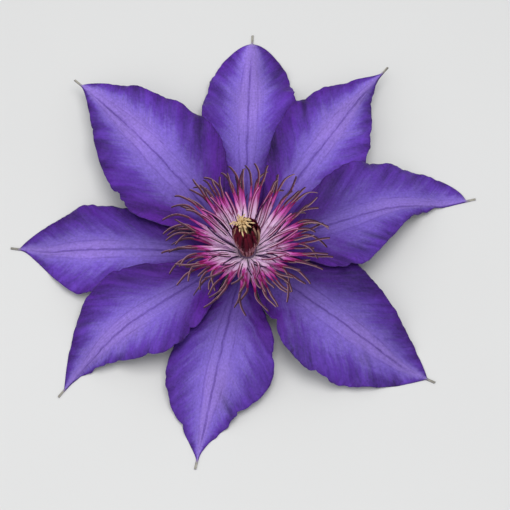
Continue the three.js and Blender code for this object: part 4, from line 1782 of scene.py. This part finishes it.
@dataclass(frozen=True)
class InnerCup:
    """The erect inner stamens, which stand as a dark barrel about the pistils.

    Attributes:
        node: The node they stand for.
        foot: Height of the roots.
        width: Full width of a stamen at its anther.
        depth: Full depth of a stamen.
        lean: Ways along x and y for each way up.
        waist: Radius of the barrel at its foot.
        swell: How far it swells over the waist.
        tuck: How far it draws in at the top.
        swell_heights: Heights over which it swells.
        tuck_heights: Heights over which it draws in.
        turn_stray: Largest stray of a stamen's azimuth, as a share of the spacing.
        top_stray: Largest stray of the tip's height.
        radius_stray: Largest stray of the distance from the axis.
        sway: Depth of the sideways wave.
        lean_stray: Largest stray of the tip to the side.
        turned: Largest twist at the tip, in radians.
        rings: For each ring its count, its draws' first number, how far inside the barrel's
            wall it stands, and the height of its tips.
    """

    node: str = "inner_stamens"
    foot: float = 10.8
    width: float = 1.9
    depth: float = 1.0
    lean: tuple[float, float] = (-0.03, 0.03)
    waist: float = 2.2
    swell: float = 2.1
    tuck: float = 0.75
    swell_heights: tuple[float, float] = (11.6, 24.0)
    tuck_heights: tuple[float, float] = (26.0, 31.5)
    turn_stray: float = 0.22
    top_stray: float = 0.9
    radius_stray: float = 0.25
    sway: float = 0.35
    lean_stray: float = 0.5
    turned: float = 0.5
    rings: tuple[tuple[int, int, float, float], ...] = (
        (15, 1, 0.0, 29.6),
        (12, 41, 0.75, 30.8),
    )

    def wall(self, height: Array) -> Array:
        """Radius of the barrel: a smooth step out from the waist and a smaller one in again."""
        swollen = self.waist + self.swell * smoothstep(*self.swell_heights, height)
        return swollen - self.tuck * smoothstep(*self.tuck_heights, height)

    def ring(self, count: int, first: int, inside: float, top: float) -> Surface:
        """One ring of erect stamens, narrow at the foot and broad along the anther.

        Args:
            count: Number of stamens.
            first: Number of the first one, for its draws.
            inside: How far inside the wall they stand, in millimetres, and how far the ring
                is turned, as a share of its spacing.
            top: Height of their tips.

        Returns:
            The stamens, broad faces outwards, their chances larger at the two sides.
        """
        t = np.linspace(0, 1, 31)[None, :]
        number = numbered(count, first)
        order = number - first + inside + self.turn_stray * draw(number, Draw.CUP_TURN)
        turn = FULL_TURN * order / count
        tall = top + self.top_stray * draw(number, Draw.CUP_TOP) - self.foot
        height = self.foot + tall * t
        wave = np.sin(FULL_TURN * (0.8 * t + draw(number, Draw.CUP_SWAY)))
        sideways = self.sway * wave * smoothstep(0.3, 0.7, t)
        sideways = sideways + self.lean_stray * draw(number, Draw.CUP_SIDE) * t**4
        stray = self.radius_stray * draw(number, Draw.CUP_RADIUS) * smoothstep(0.3, 0.8, t)
        radius = self.wall(height) - inside + stray
        places = centred(polar(turn, radius, sideways, height), self.lean)
        t = t[:, :-1]
        narrow = 0.5 + 0.5 * smoothstep(0.3, 0.6, t)
        end = np.sqrt(np.clip(1.02 - np.clip((t - 0.82) / 0.18, 0, 1) ** 2, 0, 1))
        half = self.width / 2 * narrow * end
        depths = self.depth / 2 * (0.6 + 0.4 * narrow) * np.maximum(end, 0.3)
        half, depths = (np.broadcast_to(size, (count, t.size)) for size in (half, depths))
        facing = polar(turn, 1.0, 0.0, 0.0 * turn)
        twist = self.turned * draw(number, Draw.CUP_TWIST) * smoothstep(0.3, 1.0, t)
        aside = 0.5 * np.abs(np.cos(turn)) + 0.06 * np.cos(turn)
        chance = 0.24 + 0.2 * draw(number, Draw.CUP_CHANCE) + aside
        return strands(places, half, depths, channelled(12), facing, twist, chance)

    def surface(self) -> Surface:
        """All the erect stamens."""
        return Surface.joined([self.ring(*ring) for ring in self.rings])


@dataclass(frozen=True)
class Pistils:
    """A bundle of styles that part at the top and curl outwards to their stigmas.

    Attributes:
        node: The node they stand for.
        foot: Height of their feet.
        thickness: Thickness of a style.
        lean: Ways along x and y for each way up.
        part: Share of the length where a style turns outwards.
        turn_stray: Largest stray of a style's azimuth, as a share of the spacing.
        spread_stray: Half the share by which a stigma may fall short of its distance.
        top_stray: Largest stray of the curl's height.
        curl: Largest curl of a stigma to the side.
        rings: For each ring its count, its draws' first number, its radius low down, the
            distance of its stigmas from the axis, and the height of its curl.
    """

    node: str = "pistils"
    foot: float = 11.0
    thickness: float = 0.44
    lean: tuple[float, float] = (-0.09, 0.05)
    part: float = 0.8
    turn_stray: float = 0.3
    spread_stray: float = 0.26
    top_stray: float = 0.6
    curl: float = 1.3
    rings: tuple[tuple[int, int, float, float, float], ...] = (
        (21, 1, 1.35, 5.3, 32.2),
        (15, 41, 0.8, 3.8, 32.8),
        (9, 61, 0.4, 2.0, 33.2),
    )

    def ring(self, count: int, first: int, radius: float, spread: float, top: float) -> Surface:
        """One ring of styles: straight up, then a turn outwards over the last part.

        Args:
            count: Number of styles.
            first: Number of the first one, for its draws.
            radius: Distance of the styles from the axis, low down.
            spread: Largest distance of the stigmas from the axis.
            top: Height of the curl.

        Returns:
            The styles, each bulging a little low down.
        """
        t = np.linspace(0, 1, 33)[None, :]
        number = numbered(count, first)
        order = number - first + self.turn_stray * draw(number, Draw.STYLE_TURN)
        turn = FULL_TURN * order / count
        short = self.spread_stray * (1 - draw(number, Draw.STYLE_SPREAD))
        out = spread * (1 - short) - radius
        tall = top + self.top_stray * draw(number, Draw.STYLE_TOP) - self.foot
        end = np.clip((t - self.part) / (1 - self.part), 0, 1)
        rise = np.minimum(t / 0.9, 1) - 0.028 * smoothstep(0.9, 1.0, t) * (out > 2)
        bulge = 0.35 * radius * np.sin(math.pi * np.clip(t / 0.75, 0, 1))
        along = radius * (1 - 0.3 * t) + bulge + out * end**1.5
        curl = self.curl * draw(number, Draw.STYLE_CURL) * end**2
        height = self.foot + tall * (rise - 0.012 * end)
        places = centred(polar(turn, along, curl, height), self.lean)
        swell = 1.0 + 0.18 * smoothstep(0.85, 0.97, t[:, :-1])
        half = np.broadcast_to(self.thickness / 2 * swell, (count, swell.size))
        facing = polar(turn + 0.4, 1.0, 0.0, 0.0 * turn)
        return strands(places, half, 0.9 * half, oval(8), facing)

    def surface(self) -> Surface:
        """All the styles."""
        return Surface.joined([self.ring(*ring) for ring in self.rings])


@dataclass(frozen=True)
class Stem:
    """The receptacle and the cut stalk, which curves down and trails over the surface.

    Attributes:
        node: The node it stands for.
        radius: Radius of the stalk over its ribs.
        ribs: Number of its ribs.
        hairs: Number of hairs of its down.
        hair_radius: Radius of a hair at its root.
        hair_length: Mean length of a hair.
        hair_stray: Largest stray of that length.
        hair_lean: Largest lean of a hair along the stalk, as a share of its length.
        facing: A way square to most of the route, which its section is set by.
        route: Places along its middle.
        knob: Radii and heights of the receptacle's profile.
    """

    node: str = "stem"
    radius: float = 1.3
    ribs: int = 7
    hairs: int = 420
    hair_radius: float = 0.045
    hair_length: float = 0.55
    hair_stray: float = 0.3
    hair_lean: float = 0.5
    facing: tuple[float, float, float] = (0.6, 0.8, 0.05)
    route: tuple[tuple[float, float, float], ...] = (
        (0.0, 0.0, 8.0), (0.4, -0.2, 5.6), (2.5, -1.8, 3.2), (7.0, -5.6, 1.9), (12.4, -11.2, 1.6),
    )
    knob: tuple[tuple[float, float], ...] = (
        (0.0, 4.6), (1.3, 5.0), (2.6, 6.1), (3.6, 7.4), (3.6, 9.0), (3.1, 10.0), (0.0, 10.2),
    )

    def stalk(self) -> Surface:
        """The ribbed stalk with the knob at its head: the ribs are a cosine about the stalk.

        Returns:
            The surface.
        """
        corners = 6 * self.ribs
        route = through(self.route, np.linspace(0, 1, 61))[None]
        turn = np.arange(corners) * FULL_TURN / corners
        ribbed = (0.95 + 0.05 * np.cos(self.ribs * turn))[:, None] * oval(corners)
        half = np.full((1, route.shape[1] - 1), self.radius)
        stalk = strands(route, half, half, ribbed, np.array(self.facing))
        return Surface.joined([stalk, revolved(self.knob, 30, 48)])

    def down(self) -> Surface:
        """Short hairs at seeded places, each straight out from the stalk and bent along it by
        the square of the way up the hair.

        Returns:
            The hairs.
        """
        number = np.arange(self.hairs)
        share = 0.2 + 0.78 * (0.5 + 0.5 * draw(number, Draw.HAIR_PLACE))
        centre = through(self.route, share)
        ahead = unit(through(self.route, share + 0.01) - centre)
        side = unit(np.cross(ahead, np.array(self.facing)))
        above = np.cross(side, ahead)
        turn = (math.pi * draw(number, Draw.HAIR_TURN))[:, None]
        out = side * np.cos(turn) + above * np.sin(turn)
        t = np.linspace(0, 1, 5)[None, :, None]
        stray = self.hair_stray * draw(number, Draw.HAIR_LENGTH)
        length = (self.hair_length + stray)[:, None, None]
        lean = self.hair_lean * draw(number, Draw.HAIR_LEAN)[:, None, None]
        start = (centre + (self.radius * 0.9) * out)[:, None, :]
        places = start + length * t * out[:, None, :] + length * lean * t * t * ahead[:, None, :]
        places[..., 2] = np.maximum(places[..., 2], 0.06)
        taper = self.hair_radius * (1 - 0.8 * t[:, :-1, 0])
        half = np.broadcast_to(taper, (self.hairs, taper.size))
        return strands(places, half, half, oval(3), side[:, None, :])


# ------------------------------------------------------------------ studio


@dataclass(frozen=True)
class SoftLight:
    """One square soft light.

    Attributes:
        name: Name of the light.
        place: Where it stands, from the point it is aimed at, in metres.
        size: Length of its side, in metres.
        power: Its power in watts.
    """

    name: str
    place: tuple[float, float, float]
    size: float
    power: float

    def build(self, aim: Vector) -> None:
        """Makes the light and turns it to the point.

        Args:
            aim: The point it is aimed at, in metres.
        """
        data = bpy.data.lights.new(self.name, "AREA")
        data.size = self.size
        data.energy = self.power
        light = bpy.data.objects.new(self.name, data)
        light.location = aim + Vector(self.place)
        light.rotation_euler = (aim - light.location).to_track_quat("-Z", "Y").to_euler()
        bpy.context.scene.collection.objects.link(light)


@dataclass(frozen=True)
class Studio:
    """Floor, lights and camera.

    Attributes:
        elevation: The camera's height over the horizon, in degrees.
        distance: From the camera to the flower, in metres.
        view_width: What the picture's width takes in at the flower, in metres.
        right: How far the picture's middle lies to the right of the base, in metres.
        up: How far the picture's middle lies above the base, in metres.
        base: Height of the point of the flower's axis that the lights are aimed at, in metres.
        sensor: Width of the camera's sensor, in millimetres.
        floor_half: Half the floor's side, in metres.
        floor_gap: How far the floor lies under the flower, in metres.
        lights: The key light above and the fill light at the left and the front.
        sky: Colour of the pale surround.
        sky_strength: Strength of the pale surround.
    """

    elevation: float = 65.0
    distance: float = 0.8
    view_width: float = 0.17544
    right: float = 0.00344
    up: float = -0.00069
    base: float = 0.010
    sensor: float = 36.0
    floor_half: float = 1.5
    floor_gap: float = 0.0001
    lights: tuple[SoftLight, ...] = (
        SoftLight("key", place=(0.08, 0.0, 0.9), size=0.6, power=5.0),
        SoftLight("fill", place=(-0.5, -0.35, 0.6), size=0.9, power=2.0),
    )
    sky: Colour = (0.92, 0.95, 1.0)
    sky_strength: float = 0.5

    def camera(self, axis: Vector) -> None:
        """Looks down on the flower at the elevation, from the -Y side.

        Args:
            axis: The flower's axis in the frame, in metres.
        """
        tilt = math.radians(self.elevation)
        ahead = Vector((0, math.cos(tilt), -math.sin(tilt)))
        upward = Vector((0, math.sin(tilt), math.cos(tilt)))
        target = Vector((axis.x + self.right, axis.y, self.base)) + upward * self.up
        data = bpy.data.cameras.new("camera")
        data.sensor_width = self.sensor
        data.lens = self.sensor * self.distance / self.view_width
        camera = bpy.data.objects.new("camera", data)
        camera.location = target - ahead * self.distance
        camera.rotation_euler = ahead.to_track_quat("-Z", "Y").to_euler()
        bpy.context.scene.collection.objects.link(camera)
        bpy.context.scene.camera = camera

    def floor(self) -> None:
        """Makes the floor, which is no part of the flower."""
        half = self.floor_half
        corners = [(-half, -half, 0), (half, -half, 0), (half, half, 0), (-half, half, 0)]
        mesh = bpy.data.meshes.new("floor")
        mesh.from_pydata(corners, [], [(0, 1, 2, 3)])
        mesh.materials.append(FloorFinish().material())
        floor = bpy.data.objects.new("floor", mesh)
        floor.location.z = -self.floor_gap
        bpy.context.scene.collection.objects.link(floor)

    def surround(self) -> None:
        """Lights the scene evenly from a pale sky, with plain colours in the picture."""
        world = bpy.data.worlds.new("surround")
        world.use_nodes = True
        background = world.node_tree.nodes["Background"]
        background.inputs["Color"].default_value = (*self.sky, 1.0)
        background.inputs["Strength"].default_value = self.sky_strength
        bpy.context.scene.world = world
        bpy.context.scene.view_settings.view_transform = "Standard"

    def build(self, axis: Vector) -> None:
        """Makes the whole studio.

        Args:
            axis: The flower's axis in the frame, in metres.
        """
        self.floor()
        for light in self.lights:
            light.build(Vector((axis.x, axis.y, self.base)))
        self.surround()
        self.camera(axis)


# ------------------------------------------------------------------ the bloom


@dataclass(frozen=True)
class Bloom:
    """The whole flower: makes each piece, dresses it, ties it to the frame and hides the node it stands
    for.

    Attributes:
        axis: The flower's axis in the frame, in metres.
    """

    axis: Vector

    @classmethod
    def in_frame(cls) -> "Bloom":
        """Finds the axis from the stem's box, whose -X and +Y faces touch the receptacle."""
        low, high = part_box("stem")
        return cls(Vector((low[0] + RECEPTACLE_RADIUS * MM, high[1] - RECEPTACLE_RADIUS * MM, 0)))

    def add(
        self, name: str, surface: Surface, material: bpy.types.Material, slot: str, node: str
    ) -> None:
        """Makes one piece and ties it to the frame.

        Args:
            name: Name of the piece.
            surface: Its shape, in millimetres about the axis.
            material: Its finish.
            slot: A material slot's name. It is not used.
            node: The node that the piece stands for.
        """
        mesh = surface.mesh(name, self.axis)
        mesh.materials.append(material)
        piece = bpy.data.objects.new(name, mesh)
        bpy.context.scene.collection.objects.link(piece)
        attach(piece, "root")
        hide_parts(node)
        triangles = sum(len(faces) * (faces.shape[1] - 2) for faces in surface.faces)
        LOG.info("%s: %d triangles for %s", name, triangles, node)

    def tepals(self) -> None:
        """Adds the eight tepals with one shared finish."""
        material = TepalFinish().material()
        for tepal in TEPALS:
            self.add(f"{tepal.node}_blade", tepal.surface(), material, "tepal", tepal.node)

    def stamens(self) -> None:
        """Adds the spreading stamens and the erect cup of inner ones."""
        ring, cup = StamenRing(), InnerCup()
        filament = FilamentFinish().material()
        self.add("filaments", ring.filaments(), filament, "stamen", ring.node)
        dusty = AntherFinish().material("dusty_anther")
        self.add("long_anthers", ring.long_anthers(), dusty, "stamen", ring.node)
        rimmed = RIMMED_ANTHER.material("rimmed_anther")
        self.add("short_anthers", ring.short.anthers(), rimmed, "stamen", ring.node)
        dark = DARK_ANTHER.material("dark_anther")
        self.add("inner_anthers", ring.inner.anthers(), dark, "stamen", ring.node)
        self.add("erect_stamens", cup.surface(), CupFinish().material(), "inner_stamen", cup.node)

    def pistils(self) -> None:
        """Adds the styles."""
        pistils = Pistils()
        self.add("styles", pistils.surface(), StyleFinish().material(), "pistil", pistils.node)

    def stem(self) -> None:
        """Adds the stalk with its receptacle, and its down."""
        stem = Stem()
        self.add("stalk", stem.stalk(), StalkFinish().material(), "stem", stem.node)
        self.add("stalk_down", stem.down(), HairFinish().material(), "stem", stem.node)


def main() -> None:
    """Builds the studio and the flower."""
    logging.basicConfig(level=logging.INFO, format="%(name)s %(message)s")
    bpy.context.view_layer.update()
    bloom = Bloom.in_frame()
    Studio().build(bloom.axis)
    bloom.tepals()
    bloom.stamens()
    bloom.pistils()
    bloom.stem()


if __name__ == "__main__":
    main()
